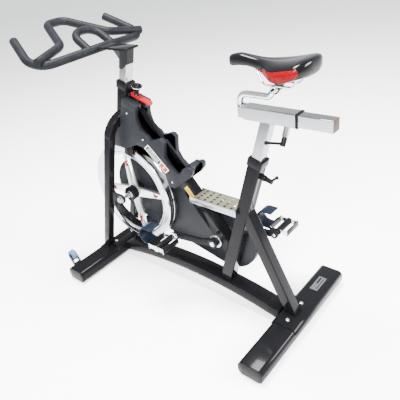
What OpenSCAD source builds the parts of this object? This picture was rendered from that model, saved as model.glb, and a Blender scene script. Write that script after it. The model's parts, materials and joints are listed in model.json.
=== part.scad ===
// Indoor training bike: a steel frame on two cross feet, a heavy wheel driven by a belt,
// an adjustable handlebar and an adjustable saddle. Millimetres. +X forward, +Y left, +Z up.
// The origin is on the floor, under the middle of the whole bike.

/* [Stance] */
// Distance between the middles of the two feet
wheelbase = 960; // [900:10:1060]
// How far the middle of the feet sits behind the middle of the whole bike
set_back = 16.4; // [0:0.1:60]
// Length of the front foot over its end caps
front_foot_length = 636; // [540:4:700]
// Length of the rear foot over its end caps
rear_foot_length = 620; // [540:4:700]
// Lean of the fork, head tube and seat tube, towards the rear
rake = 16.8; // [14:0.2:19]

/* [Feet and base rail] */
// Width of a foot tube, front to back
foot_width = 100; // [80:2:120]
// Height of a foot tube
foot_height = 56; // [46:2:70]
// Corner radius of a foot tube
foot_corner = 20; // [10:1:22]
// Wall of the foot tubes
foot_wall = 2.5; // [1.5:0.5:4]
// Height of the rubber feet
pad_height = 6; // [3:1:12]
// Diameter of the rubber feet
pad_diameter = 44; // [30:1:56]
// Thickness of the flange of an end cap
cap_thickness = 5; // [3:1:8]
// Width of the arched base rail
rail_width = 70; // [50:2:80]
// Height of the base rail's section
rail_height = 40; // [30:1:50]
// Rise of the base rail's middle above its ends
rail_rise = 58; // [30:1:70]
// Thickness of the steel plates that saddle the feet
plate_thickness = 4; // [3:0.5:6]
// Distance between the two bolts of a foot plate
foot_bolt_spacing = 105; // [90:1:120]

/* [Frame tubes] */
// Outside of the square head, down and seat tubes
tube_size = 50; // [46:1:56]
// Wall of the frame tubes
tube_wall = 3; // [2:0.5:4]
// Corner radius of the frame tubes
tube_corner = 5; // [3:0.5:8]
// Outside of the rear stay
stay_size = 45; // [36:1:50]
// Lean of the rear stay, towards the front
stay_lean = 25; // [22:0.5:28]
// Outside of the square fork legs
leg_size = 35; // [28:1:40]
// Distance of a fork leg's middle from the middle of the bike
leg_spread = 85; // [78:1:95]
// How far the fork legs stand forward of the front foot's middle
fork_offset = 20; // [10:1:28]
// Height of the top of the head tube's collar
head_top = 896; // [860:1:940]
// Length of the head tube, collar included
head_length = 236; // [210:1:260]
// Height of the top of the seat tube's collar
seat_top = 690; // [640:1:740]
// How far the foot of the seat tube stands forward of the rear foot's middle
seat_tube_offset = 335; // [310:1:360]
// Slope of the down tube above the floor
down_tube_angle = 49.8; // [46:0.2:54]

/* [Posts] */
// Outside of the square handlebar and seat posts
post_size = 38; // [32:1:40]
// Wall of the posts and of the saddle slider
post_wall = 2; // [1.5:0.5:3]
// Clearance on each side of a sliding post
slide_clearance = 0.2; // [0.1:0.05:0.4]
// Length of the seat post above the seat tube's collar
seat_post_reach = 144; // [140:1:190]
// Length of the seat post inside the seat tube
seat_post_insert = 250; // [200:5:300]
// Length of the handlebar post inside the head tube
bar_post_insert = 150; // [130:5:165]
// Height of the handlebar plate's top face
bar_plate_top = 1030; // [1000:1:1060]

/* [Saddle] */
// Length of the outer sleeve under the saddle
sleeve_length = 186; // [180:1:230]
// Outside width and height of that sleeve
sleeve_size = 45; // [42:1:50]
// How far the sleeve reaches in front of the seat post's middle
sleeve_front = 81; // [60:1:90]
// Length of the inner slider bar
slider_length = 326; // [310:1:340]
// Diameter of the bent saddle stem
stem_diameter = 22; // [19:1:25.4]
// Height of the saddle stem above the slider's middle
stem_rise = 91; // [88:1:110]
// Length of the saddle
saddle_length = 288; // [250:2:300]
// Widest width of the saddle
saddle_width = 164; // [140:2:220]

/* [Wheel and drive] */
// Outside radius of the heavy wheel
wheel_radius = 232; // [210:1:240]
// Inside radius of the wheel's rim
rim_inner_radius = 188; // [170:1:195]
// Width of the wheel's rim
rim_width = 50; // [30:1:56]
// How far the wheel's axle sits behind the front foot's middle
wheel_set_back = 159; // [150:1:180]
// Height of the wheel's axle
wheel_height = 375; // [365:1:400]
// How far the crank axle sits in front of the rear foot's middle
crank_forward = 309; // [300:1:325]
// Height of the crank axle
crank_height = 311; // [300:1:330]
// Length of a crank arm
crank_length = 170; // [160:1:175]
// Distance of a pedal's middle from the middle of the bike
pedal_spread = 168; // [160:1:180]
// Length of a pedal cage along its spindle
pedal_width = 96; // [84:1:100]
// Radius of the belt pulley on the crank axle
drive_pulley_radius = 88; // [80:1:92]
// Radius of the belt pulley on the wheel's hub
hub_pulley_radius = 27; // [25:1:34]
// Diameter of the crank axle
crank_axle_diameter = 20; // [17:1:22]
// Diameter of the wheel's axle
wheel_axle_diameter = 16; // [12:1:17]
// Radial clearance of parts that turn on a shaft
running_clearance = 0.05; // [0.02:0.01:0.08]
// Outside radius of the belt guard
guard_radius = 141; // [135:1:150]

/* [Controls and small wheels] */
// Distance of the brake rod behind the head tube's middle
brake_offset = 62; // [60:1:66]
// Diameter of the brake knob's cap
knob_diameter = 42; // [34:1:46]
// Diameter of the threaded brake rod
brake_rod_diameter = 10; // [8:1:12]
// Length of the red stopping lever
lever_length = 132; // [110:1:150]
// Diameter of the handlebar tube with its rubber coat
bar_tube_diameter = 35; // [28:1:38]
// Half of the width between the bends of the handlebar
bar_half_width = 290; // [250:1:300]
// Diameter of the transport wheels
roller_diameter = 50; // [40:1:60]
// Distance of a transport wheel from the middle of the bike
roller_spread = 262; // [230:1:280]
// How far the transport wheels sit in front of the front foot's middle
roller_forward = 79; // [77:1:90]
// Height of the transport wheels' axles
roller_height = 85; // [75:1:95]

/* [Hidden] */
$fn = 48;
EPS = 0.01;
FAR = 3000;

// Floor plan and heights of the main points
rear_foot_x = -wheelbase / 2 - set_back;
front_foot_x = wheelbase / 2 - set_back;
foot_mid_z = pad_height + foot_height / 2;
foot_top = pad_height + foot_height;
plate_top = foot_top + plate_thickness;
fork_x0 = front_foot_x + fork_offset + foot_top * tan(rake);
seat_x0 = rear_foot_x + seat_tube_offset;
head_s = head_top / cos(rake);
seat_s = seat_top / cos(rake);
crank_x = rear_foot_x + crank_forward;
wheel_x = front_foot_x - wheel_set_back;

// Base rail arc through the two feet
rail_half = wheelbase / 2;
rail_radius = (pow(rail_half, 2) + pow(rail_rise, 2)) / (2 * rail_rise);
rail_sweep = asin(rail_half / rail_radius);
rail_centre_z = foot_mid_z + rail_rise - rail_radius;

// Down tube and rear stay, along their own lines to the tubes that they meet
down_reach = (fork_x0 - crank_height * tan(rake) - crank_x)
    / (cos(down_tube_angle) + sin(down_tube_angle) * tan(rake));
down_tail = (crank_x - seat_x0 + crank_height * tan(rake))
    / (cos(down_tube_angle) + sin(down_tube_angle) * tan(rake));
stay_x0 = rear_foot_x + 4;
stay_reach = (seat_x0 - foot_top * tan(rake) - stay_x0) / (sin(stay_lean) + cos(stay_lean) * tan(rake));

// Collars and bushes at the tube tops
collar_size = tube_size + 7;
collar_height = 28;
collar_lip = 4;
bush_length = 54;
bush_hole = post_size + 2 * slide_clearance;
tube_hole = tube_size - 2 * tube_wall;

// Fork arch, welded to the sides of the head tube
arch_top = head_s - head_length + 108;
arch_s = arch_top - leg_spread - leg_size / 2;

// Sides of the drive, from the left crank to the right one
crank_arm_width = 15;
left_hub_y = 56;
right_hub_y = 69;
arm_out_y = pedal_spread - pedal_width / 2 - 12;
belt_y = -48;
belt_width = 14;
belt_gap = 0.3;
guard_in_y = -31;
guard_out_y = -65;
guard_wall = 3;
bracket_shell = 23.5;
bearing_radius = 18;
bearing_width = 14;
hub_radius = 32;
hub_half = 36;
hub_nose = 57.5;
dropout_y = leg_spread;
dropout_plate = 8;
axle_reach = leg_spread + 12;
wheel_s = (fork_x0 - wheel_x) * sin(rake) + wheel_height * cos(rake);
spoke_count = 4;
spoke_phase = -6;
clip_radius = 137;
pad_gap = 6;
crank_ratio = hub_pulley_radius / drive_pulley_radius;

// Belt guard: a straight-sided shape round two centres
guard_rear = [crank_x + 12, crank_height - 37];
guard_front = [wheel_x, wheel_height];

// Saddle parts
sleeve_top = seat_top + seat_post_reach + sleeve_size - 5;
sleeve_mid_z = sleeve_top - sleeve_size / 2;
seat_mid_x = seat_x0 - (seat_top + seat_post_reach) * tan(rake);
sleeve_x1 = seat_mid_x + sleeve_front;
sleeve_x0 = sleeve_x1 - sleeve_length;
slider_size = sleeve_size - 2 * 3;
slider_hole = slider_size + 2 * slide_clearance;
stem_x = sleeve_x1 + 11 + stem_diameter / 2;
slider_x1 = stem_x;
slider_x0 = slider_x1 - slider_length;
clamp_x = stem_x - 138;
clamp_z = sleeve_mid_z + stem_rise;
tilt_bolt_diameter = 8;
saddle_z = clamp_z + 94;
saddle_tail_x = clamp_x - 124;

// Handlebar parts
bar_post_x = fork_x0 - bar_plate_top * tan(rake);
bar_plate_front = 93;
bar_plate_rear = 26;
bar_plate_width = 70;
bar_x = bar_post_x + bar_plate_front + bar_tube_diameter / 2 + 27;

// ---------------------------------------------------------------- plain helpers

module rounded(w, h, r) {
    square([w - 2 * r, h], center = true);
    square([w, h - 2 * r], center = true);
    for (x = [-1, 1], y = [-1, 1])
        translate([x * (w / 2 - r), y * (h / 2 - r)]) circle(r);
}

module square_tube(size, wall, corner, length) {
    linear_extrude(length) difference() {
        rounded(size, size, corner);
        rounded(size - 2 * wall, size - 2 * wall, max(corner - wall, 1));
    }
}

module square_bar(size, corner, length) {
    linear_extrude(length) rounded(size, size, corner);
}

// A round bar along Y from y0 to y1
module along_y(r, y0, y1) {
    translate([0, y0, 0]) rotate([-90, 0, 0]) cylinder(r = r, h = y1 - y0);
}

// A ring along Y from y0 to y1
module ring_y(r, hole, y0, y1) {
    difference() {
        along_y(r, y0, y1);
        along_y(hole, y0 - 1, y1 + 1);
    }
}

// Turns a drawing in X and Z into a plate between y0 and y1
module side_plate(y0, y1) {
    translate([0, y1, 0]) rotate([90, 0, 0]) linear_extrude(y1 - y0) children();
}

module at_head(s = 0) {
    translate([fork_x0, 0, 0]) rotate([0, -rake, 0]) translate([0, 0, s]) children();
}

module at_seat(s = 0) {
    translate([seat_x0, 0, 0]) rotate([0, -rake, 0]) translate([0, 0, s]) children();
}

module at_down(t = 0) {
    translate([crank_x, 0, crank_height]) rotate([0, 90 - down_tube_angle, 0]) translate([0, 0, t]) children();
}

module at_crank() {
    translate([crank_x, 0, crank_height]) children();
}

module at_wheel() {
    translate([wheel_x, 0, wheel_height]) children();
}

// Points of the side view, from the head tube's line and from the down tube's line
function head_point(out, s) =
    [fork_x0 - s * sin(rake) + out * cos(rake), s * cos(rake) + out * sin(rake)];
function down_point(t, up) =
    [crank_x + t * cos(down_tube_angle) - up * sin(down_tube_angle),
     crank_height + t * sin(down_tube_angle) + up * cos(down_tube_angle)];

// ---------------------------------------------------------------- bent round tubes

function unit(v) = v / norm(v);
// Points of the round bend at corner b between a and c
function bend(a, b, c, r, n) =
    let (u = unit(a - b), v = unit(c - b), angle = acos(u * v), reach = r / tan(angle / 2),
         p0 = b + u * reach, p1 = b + v * reach, middle = b + unit(u + v) * r / sin(angle / 2),
         sweep = 180 - angle)
    [for (i = [0:n]) middle + (sin((1 - i / n) * sweep) * (p0 - middle)
        + sin(i / n * sweep) * (p1 - middle)) / sin(sweep)];
function bent_path(corners, radii, n = 5) = concat(
    [corners[0]],
    [for (i = [1:len(corners) - 2]) each bend(corners[i - 1], corners[i], corners[i + 1], radii[i - 1], n)],
    [corners[len(corners) - 1]]);
function tangent(path, i) =
    i == 0 ? unit(path[1] - path[0])
    : i == len(path) - 1 ? unit(path[i] - path[i - 1])
    : unit(unit(path[i + 1] - path[i]) + unit(path[i] - path[i - 1]));

// A round tube that follows a path; side_of is a direction that the path never takes
module bent_tube(path, r, side_of, sides = 12) {
    rings = [for (i = [0:len(path) - 1])
        let (t = tangent(path, i), u = unit(cross(side_of, t)), v = cross(t, u))
        for (k = [0:sides - 1]) path[i] + r * (cos(360 * k / sides) * u + sin(360 * k / sides) * v)];
    last = (len(path) - 1) * sides;
    walls = [for (i = [0:len(path) - 2], k = [0:sides - 1])
        let (a = i * sides + k, b = i * sides + (k + 1) % sides)
        each [[a, a + sides, b], [b, a + sides, b + sides]]];
    ends = [[for (k = [0:sides - 1]) k], [for (k = [sides - 1:-1:0]) last + k]];
    polyhedron(points = rings, faces = concat(walls, ends), convexity = 6);
}

// ---------------------------------------------------------------- feet and base

// Everything under the middle of the base rail
module below_rail() {
    translate([rear_foot_x + rail_half, 0, rail_centre_z]) along_y(rail_radius, -FAR, FAR, $fn = 540);
}

module foot_profile(grow = 0) {
    rounded(foot_width + 2 * grow, foot_height + 2 * grow, foot_corner + grow);
}

module foot_bar(x, length, grow = 0) {
    translate([x, length / 2, foot_mid_z]) rotate([90, 0, 0]) linear_extrude(length) foot_profile(grow);
}

module foot_tube(x, length) {
    tube_length = length - 2 * cap_thickness;
    difference() {
        foot_bar(x, tube_length);
        translate([x, length, foot_mid_z]) rotate([90, 0, 0]) linear_extrude(2 * length)
            foot_profile(-foot_wall);
    }
}

module rear_foot() { color("#15161a") foot_tube(rear_foot_x, rear_foot_length); }

module front_foot() { color("#15161a") foot_tube(front_foot_x, front_foot_length); }

module foot_cap(x, length, side) {
    plug = 18;
    translate([x, side * (length / 2 - cap_thickness), foot_mid_z]) rotate([-side * 90, 0, 0]) {
        linear_extrude(cap_thickness) foot_profile(0);
        translate([0, 0, -plug]) linear_extrude(plug) foot_profile(-foot_wall);
    }
}

module foot_caps() {
    color("#3c3d40") for (side = [-1, 1]) {
        foot_cap(rear_foot_x, rear_foot_length, side);
        foot_cap(front_foot_x, front_foot_length, side);
    }
}

module foot_pads() {
    inset = 34;
    color("#202020") for (side = [-1, 1]) {
        translate([rear_foot_x, side * (rear_foot_length / 2 - inset), 0])
            cylinder(d = pad_diameter, h = pad_height);
        translate([front_foot_x, side * (front_foot_length / 2 - inset), 0])
            cylinder(d = pad_diameter, h = pad_height);
    }
}

// The rail's arc between the inner faces of the feet; reach makes it run into them
module rail_arc(w, h, reach = 0) {
    half = rail_half - foot_width / 2 + reach;
    translate([rear_foot_x + rail_half, 0, 0]) intersection() {
        translate([0, 0, rail_centre_z]) difference() {
            along_y(rail_radius + h / 2, -w / 2, w / 2, $fn = 540);
            along_y(rail_radius - h / 2, -w, w, $fn = 540);
        }
        translate([-half, -w, 0]) cube([2 * half, 2 * w, 400]);
    }
}

module base_rail() {
    color("#15161a") difference() {
        rail_arc(rail_width, rail_height);
        rail_arc(rail_width - 2 * tube_wall, rail_height - 2 * tube_wall, 10);
    }
}

// A steel plate folded over a foot, open underneath
module foot_saddle(x, length) {
    drop = 16;
    difference() {
        foot_bar(x, length, plate_thickness);
        foot_bar(x, length + 2, 0);
        translate([x - foot_width, -length, -FAR + foot_top - drop]) cube([2 * foot_width, 2 * length, FAR]);
        for (side = [-1, 1])
            translate([x, side * foot_bolt_spacing / 2, 0]) cylinder(d = 9, h = FAR);
    }
}

module transport_fork(side) {
    cheek = 4;
    gap = 14;
    inner_x = front_foot_x + foot_width / 2;
    for (edge = [-1, 1])
        translate([0, side * roller_spread + edge * (gap + cheek / 2) - cheek / 2, 0])
            side_plate(0, cheek) hull() {
                translate([inner_x + 5, foot_mid_z - 8]) square([4, 30]);
                translate([front_foot_x + roller_forward, roller_height]) circle(11);
            }
    translate([inner_x, side * roller_spread - gap - cheek, foot_mid_z - 8]) cube([5, 2 * (gap + cheek), 30]);
    translate([front_foot_x + roller_forward, side * roller_spread, roller_height])
        along_y(4, -gap - cheek - 3, gap + cheek + 3);
}

module foot_plates() {
    color("#1b1c20") {
        difference() {
            foot_saddle(rear_foot_x, 170);
            rail_arc(rail_width, rail_height, foot_width);
        }
        difference() {
            foot_saddle(front_foot_x, 236);
            rail_arc(rail_width, rail_height, foot_width);
        }
        for (side = [-1, 1]) transport_fork(side);
    }
}

module foot_bolts() {
    head = 5;
    color("silver") for (x = [rear_foot_x, front_foot_x], side = [-1, 1])
        translate([x, side * foot_bolt_spacing / 2, plate_top]) {
            intersection() {
                cylinder(r = 8, h = head);
                translate([0, 0, head - 10]) sphere(r = 10);
            }
            translate([0, 0, -plate_thickness]) cylinder(r = 4.5, h = plate_thickness);
        }
}

// ---------------------------------------------------------------- frame

module above_plate() {
    intersection() {
        children();
        translate([-FAR / 2, -FAR / 2, plate_top]) cube(FAR);
    }
}

module fork_legs() {
    color("#15161a") above_plate() for (side = [-1, 1])
        at_head() translate([0, side * leg_spread, 0])
            square_tube(leg_size, tube_wall, 4, arch_s);
}

module fork_arch() {
    color("#15161a") difference() {
        at_head(arch_s) rotate([0, 90, 0]) rotate([0, 0, 90]) rotate_extrude(angle = 180, $fn = 96)
            translate([leg_spread, 0]) difference() {
                rounded(leg_size, leg_size, 4);
                rounded(leg_size - 2 * tube_wall, leg_size - 2 * tube_wall, 1);
            }
        at_head(head_s - head_length) square_bar(tube_size, tube_corner, head_length);
    }
}

// The rod and its sleeve, from inside the shroud to the knob
brake_s0 = wheel_s + wheel_radius + pad_gap + 14;
guide_s0 = head_s - 200;
guide_s1 = head_s - 56;
guide_radius = brake_rod_diameter / 2 + 6;

module brake_line(r, s0, s1) {
    at_head(s0) translate([-brake_offset, 0, 0]) cylinder(r = r, h = s1 - s0);
}

clamp_drop = 14;
head_clamp_s = head_s - collar_height - clamp_drop;
seat_clamp_s = seat_s - collar_height - 36;

module head_tube() {
    color("#15161a") difference() {
        at_head(head_s - head_length)
            square_tube(tube_size, tube_wall, tube_corner, head_length - collar_lip);
        at_head(head_clamp_s) rotate([90, 0, 0]) cylinder(r = 6, h = tube_size);
    }
}

module seat_tube() {
    color("#15161a") difference() {
        at_seat(foot_top) square_tube(tube_size, tube_wall, tube_corner, seat_s - collar_lip - foot_top);
        rail_arc(rail_width, rail_height, foot_width);
        below_rail();
        at_seat(seat_clamp_s) rotate([0, -90, 0]) cylinder(r = 6, h = tube_size);
    }
}

module down_tube() {
    color("#15161a") difference() {
        at_down(-down_tail) square_tube(tube_size, tube_wall, tube_corner, down_tail + down_reach);
        at_head(head_s / 2) cube([tube_size, 2 * tube_size, head_s], center = true);
        at_seat(seat_s / 2) cube([tube_size, 2 * tube_size, seat_s], center = true);
        at_crank() along_y(bracket_shell + 0.1, -FAR / 2, FAR / 2);
        brake_line(guide_radius, guide_s0, guide_s1);
    }
}

module rear_stay() {
    color("#15161a") above_plate() difference() {
        translate([stay_x0, 0, foot_top]) rotate([0, stay_lean, 0]) translate([0, 0, -stay_size])
            square_tube(stay_size, tube_wall, tube_corner, stay_reach + stay_size);
        at_seat(0) square_bar(tube_size, tube_corner, seat_s);
        at_seat(0) translate([0, -FAR / 2, 0]) cube([FAR, FAR, FAR]);
        rail_arc(rail_width, rail_height, foot_width);
        below_rail();
    }
}

module collar() {
    difference() {
        translate([0, 0, -collar_height]) square_bar(collar_size, tube_corner + 2, collar_height);
        translate([0, 0, -collar_height - 1]) square_bar(tube_size, tube_corner, collar_height + 1 - collar_lip);
        translate([0, 0, -FAR / 2]) square_bar(bush_hole, 2.5, FAR);
    }
    translate([0, 0, -bush_length]) linear_extrude(bush_length) difference() {
        rounded(tube_hole, tube_hole, tube_corner - tube_wall);
        rounded(bush_hole, bush_hole, 2.5);
    }
}

module post_bushes() {
    color("#101114") difference() {
        union() {
            at_head(head_s) collar();
            at_seat(seat_s) collar();
        }
        at_head(head_clamp_s) rotate([90, 0, 0]) cylinder(r = 6, h = tube_size);
    }
}

module bottom_bracket() {
    color("#9a9ca0") at_crank() {
        ring_y(bracket_shell, bearing_radius, -29, 52);
        ring_y(bracket_shell + 3, bearing_radius - 3, 52, 55);
    }
}

module bearing(y, outer, inner) {
    ring_y(outer, inner, y, y + bearing_width);
}

module bearings() {
    color("#c8cad0") {
        at_crank() for (y = [-28, 38]) bearing(y, bearing_radius, crank_axle_diameter / 2 + running_clearance);
        at_wheel() for (side = [-1, 1])
            bearing(side * (hub_half - bearing_width / 2 - 2) - bearing_width / 2,
                17, wheel_axle_diameter / 2);
    }
}

tread_z = crank_height + 161;
tread_x0 = seat_x0 - tread_z * tan(rake) + tube_size / 2 / cos(rake);
tread_x1 = down_point((tread_z - crank_height) / sin(down_tube_angle), 0)[0]
    - tube_size / 2 / sin(down_tube_angle);

module tread_plate() {
    width = 82;
    flange = 26;
    sheet = 3;
    length = tread_x1 - tread_x0;
    columns = 6;
    rows = 4;
    color("#8d8a78") difference() {
        union() {
            translate([tread_x0, -width / 2, tread_z - sheet]) cube([length, width, sheet]);
            for (side = [-1, 1])
                translate([tread_x0 - 6, side * (width / 2 - sheet / 2) - sheet / 2, tread_z - flange])
                    cube([length + 24, sheet, flange]);
        }
        for (i = [0:columns - 1], j = [0:rows - 1])
            translate([tread_x0 + length * (i + 0.6) / (columns + 0.2),
                (j - (rows - 1) / 2) * width / (rows + 0.4), tread_z - 10]) cylinder(r = 6.5, h = 20);
        at_seat(0) square_bar(tube_size, tube_corner, seat_s);
        at_down(0) square_bar(tube_size, tube_corner, down_reach);
    }
}

// ---------------------------------------------------------------- covers

shroud_in = tube_size / 2;
shroud_out = shroud_in + 21;
shroud_wall = 3;
// Side outline of a shroud half: collar box, flare over the wheel, arm down the tube, bottle wing
shroud_outline = [
    head_point(-26, head_s - 56), head_point(-98, head_s - 56), head_point(-101, head_s - 105),
    head_point(-110, head_s - 126), head_point(-125, head_s - 148), down_point(508, 4), down_point(487, 13),
    down_point(470, 12), down_point(460, 30), down_point(450, 60), down_point(440, 72), down_point(424, 74),
    down_point(405, 54), down_point(378, 26), down_point(344, 20), down_point(300, 27), down_point(292, 45),
    down_point(301, 79), down_point(289, 110), down_point(276, 116), down_point(262, 100), down_point(256, 69),
    down_point(258, 30), down_point(257, -4), down_point(262, -29), down_point(274, -42), down_point(290, -48),
    down_point(308, -38), down_point(327, -28), down_point(400, -36), down_point(470, -44),
    head_point(-115, arch_s + 3), head_point(-57, arch_s - 47), head_point(12, arch_s - 64),
    head_point(49, arch_s - 73), head_point(44, arch_s - 36), head_point(36, arch_s - 5),
    head_point(20, arch_s + 40), head_point(-20, arch_s + 43), head_point(-20, arch_s + 107)];

module shroud_half() {
    difference() {
        side_plate(shroud_in, shroud_out) polygon(shroud_outline);
        side_plate(shroud_in - 1, shroud_out - shroud_wall) offset(delta = -shroud_wall) polygon(shroud_outline);
        at_head(0) translate([-brake_offset - 26, shroud_in - 1, 0]) cube([52, 14, brake_s0 + 14]);
    }
}

module shroud_left() { color("#4b4f55") shroud_half(); }

module shroud_right() { color("#4b4f55") mirror([0, 1, 0]) shroud_half(); }

module bottle_holder() {
    floor_up = tube_size / 2;
    color("#3f4349") side_plate(-shroud_in, shroud_in) polygon([
        down_point(440, floor_up), down_point(440, floor_up + 4), down_point(306, floor_up + 4),
        down_point(303, 106), down_point(283, 106), down_point(272, 60), down_point(278, floor_up)]);
}

module guard_shape(grow = 0) {
    hull() {
        translate(guard_rear) circle(guard_radius + grow, $fn = 96);
        translate(guard_front) circle(guard_radius + grow, $fn = 96);
    }
}

guard_axle_hole = 27;

module belt_guard_inner() {
    color("#2a2c30") side_plate(guard_in_y - guard_wall, guard_in_y) difference() {
        guard_shape();
        translate([crank_x, crank_height]) circle(guard_axle_hole);
        translate([wheel_x, wheel_height]) circle(hub_radius + 3);
    }
}

module belt_guard_outer() {
    color("#2a2c30") difference() {
        side_plate(guard_out_y, guard_in_y - guard_wall) guard_shape();
        side_plate(guard_out_y + guard_wall, guard_in_y) guard_shape(-guard_wall);
        at_crank() along_y(guard_axle_hole - 4, -200, 0);
        at_wheel() along_y(14, -200, 0);
    }
}

module cover_screws() {
    color("silver") {
        for (side = [-1, 1], p = [head_point(-56, head_s - 76), down_point(492, -16), down_point(286, -18)])
            translate([p[0], side * shroud_out, p[1]]) rotate([-side * 90, 0, 0]) cylinder(r = 4, h = 2.5);
        for (a = [200, 262, 320])
            translate([guard_rear[0] + (guard_radius - 9) * cos(a), guard_out_y, guard_rear[1] + (guard_radius - 9) * sin(a)])
                rotate([90, 0, 0]) cylinder(r = 4, h = 2.5);
        for (side = [-1, 1], x = [tread_x0 + 16, tread_x0 + 34])
            translate([x, side * 41, tread_z - 15]) rotate([-side * 90, 0, 0]) cylinder(r = 4, h = 2.5);
    }
}

// ---------------------------------------------------------------- wheel

module axle_brackets() {
    leg_x = (wheel_height - 0) * -tan(rake) + fork_x0;
    reach = leg_x - wheel_x;
    color("#1b1c20") for (side = [-1, 1])
        difference() {
            translate([0, side * dropout_y - dropout_plate / 2, 0]) side_plate(0, dropout_plate) difference() {
                union() {
                    translate([wheel_x, wheel_height - 22]) square([reach, 44]);
                    translate([wheel_x, wheel_height]) circle(22);
                    translate([wheel_x + reach - 34, wheel_height - 46]) square([34, 92]);
                }
                translate([wheel_x, wheel_height]) circle(wheel_axle_diameter / 2);
            }
            at_head(0) translate([0, side * leg_spread, 0]) square_bar(leg_size, 4, arch_s);
            at_head(0) translate([0, -FAR / 2, 0]) cube([FAR, FAR, FAR]);
        }
}

module wheel_axle() {
    color("#b8bac0") at_wheel() along_y(wheel_axle_diameter / 2, -axle_reach, axle_reach);
}

module axle_nuts() {
    color("silver") at_wheel() for (side = [-1, 1]) {
        y = side * (dropout_y + dropout_plate / 2);
        translate([0, y, 0]) rotate([-side * 90, 0, 0]) difference() {
            union() {
                cylinder(r = 15, h = 2);
                cylinder(r = 13, h = 12, $fn = 6);
            }
            cylinder(r = wheel_axle_diameter / 2, h = 40, center = true);
        }
        z = side * (hub_half + 6);
        translate([0, z, 0]) rotate([-side * 90, 0, 0]) difference() {
            cylinder(r = 12, h = 8);
            cylinder(r = wheel_axle_diameter / 2, h = 40, center = true);
        }
    }
}

module wheel_rim() {
    lip = 4;
    color("#c9cbd0") at_wheel() rotate([90, 0, 0]) rotate_extrude($fn = 180) polygon([
        [rim_inner_radius, -rim_width / 2 + lip], [rim_inner_radius + 6, -rim_width / 2],
        [wheel_radius - lip, -rim_width / 2], [wheel_radius, -rim_width / 2 + lip],
        [wheel_radius, rim_width / 2 - lip], [wheel_radius - lip, rim_width / 2],
        [rim_inner_radius + 6, rim_width / 2], [rim_inner_radius, rim_width / 2 - lip]]);
}

module wheel_spider() {
    root = 23;
    tip = 8;
    thick = 16;
    color("#d6d8da") at_wheel() difference() {
        union() {
            along_y(hub_radius, -hub_half, hub_half);
            along_y(20, -hub_nose, -hub_half + 1);
            for (i = [0:spoke_count - 1])
                rotate([0, -(spoke_phase + 360 * i / spoke_count), 0]) side_plate(-thick / 2, thick / 2)
                    polygon([[20, -root], [hub_radius + 18, -root + 3], [rim_inner_radius + 2, -tip],
                        [rim_inner_radius + 2, tip], [hub_radius + 18, root - 3], [20, root]]);
        }
        along_y(17 + running_clearance, -60, -hub_half + bearing_width + 4);
        along_y(17 + running_clearance, hub_half - bearing_width - 4, hub_half + 1);
        along_y(wheel_axle_diameter / 2 + 2, -60, 60);
        rotate([90, 0, 0]) rotate_extrude($fn = 180) translate([rim_inner_radius, -60]) square([60, 120]);
    }
}

module pulley(r, bore, y, width) {
    flange = 2.5;
    ring_y(r, bore, y - width / 2, y + width / 2);
    ring_y(r + flange, bore, y - width / 2 - 1.5, y - width / 2);
    ring_y(r + flange, bore, y + width / 2, y + width / 2 + 1.5);
}

module hub_pulley() {
    color("#6d7075") at_wheel() pulley(hub_pulley_radius, 20, belt_y, belt_width + 2);
}

module spoke_clips() {
    color("#c8342c") at_wheel() for (i = [0:spoke_count - 1])
        rotate([0, -(spoke_phase + 360 * i / spoke_count), 0]) {
            translate([clip_radius - 10, 8, -9]) cube([14, 3, 18]);
            translate([clip_radius + 12, 8, 0]) along_y(5, 0, 6);
        }
}

module drive_belt() {
    sheet = 3;
    color("#1d1d1f") side_plate(belt_y - belt_width / 2, belt_y + belt_width / 2) difference() {
        hull() {
            translate([crank_x, crank_height]) circle(drive_pulley_radius + belt_gap + sheet, $fn = 96);
            translate([wheel_x, wheel_height]) circle(hub_pulley_radius + belt_gap + sheet);
        }
        hull() {
            translate([crank_x, crank_height]) circle(drive_pulley_radius + belt_gap, $fn = 96);
            translate([wheel_x, wheel_height]) circle(hub_pulley_radius + belt_gap);
        }
    }
}

// ---------------------------------------------------------------- cranks and pedals

module crank_axle() {
    color("#b8bac0") at_crank() {
        along_y(crank_axle_diameter / 2, -right_hub_y - crank_arm_width - 3, left_hub_y + crank_arm_width + 8);
    }
}

module drive_pulley() {
    holes = 5;
    color("#55585e") at_crank() difference() {
        union() {
            pulley(drive_pulley_radius, crank_axle_diameter / 2, belt_y, belt_width + 2);
            ring_y(20, crank_axle_diameter / 2, belt_y - 14, belt_y + 14);
        }
        for (i = [0:holes - 1]) rotate([0, 360 * i / holes, 0])
            translate([56, 0, 0]) along_y(22, -200, 0);
    }
}

// A crank arm that runs forward from its hub; side is 1 on the left
module crank_arm(side, hub_y) {
    hub_r = 19;
    eye_r = 15;
    width = side * (hub_y + crank_arm_width / 2);
    eye_y = side * (arm_out_y - crank_arm_width / 2);
    difference() {
        union() {
            along_y(hub_r, min(side * hub_y, side * (hub_y + crank_arm_width + 6)),
                max(side * hub_y, side * (hub_y + crank_arm_width + 6)));
            translate([crank_length, 0, 0]) along_y(eye_r, eye_y - crank_arm_width / 2, eye_y + crank_arm_width / 2);
            hull() {
                translate([8, width, 0]) cube([2, crank_arm_width - 1, 28], center = true);
                translate([50, width + (eye_y - width) * 0.5, 0]) cube([2, crank_arm_width - 2, 24], center = true);
            }
            hull() {
                translate([50, width + (eye_y - width) * 0.5, 0]) cube([2, crank_arm_width - 2, 24], center = true);
                translate([crank_length - 8, eye_y, 0]) cube([2, crank_arm_width - 1, 22], center = true);
            }
        }
        along_y(crank_axle_diameter / 2, -FAR / 2, FAR / 2);
        translate([crank_length, 0, 0]) along_y(7, -FAR / 2, FAR / 2);
    }
}

module left_crank() { color("#2b2d31") at_crank() crank_arm(1, left_hub_y); }

module right_crank() { color("#2b2d31") at_crank() rotate([0, 180, 0]) crank_arm(-1, right_hub_y); }

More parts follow.
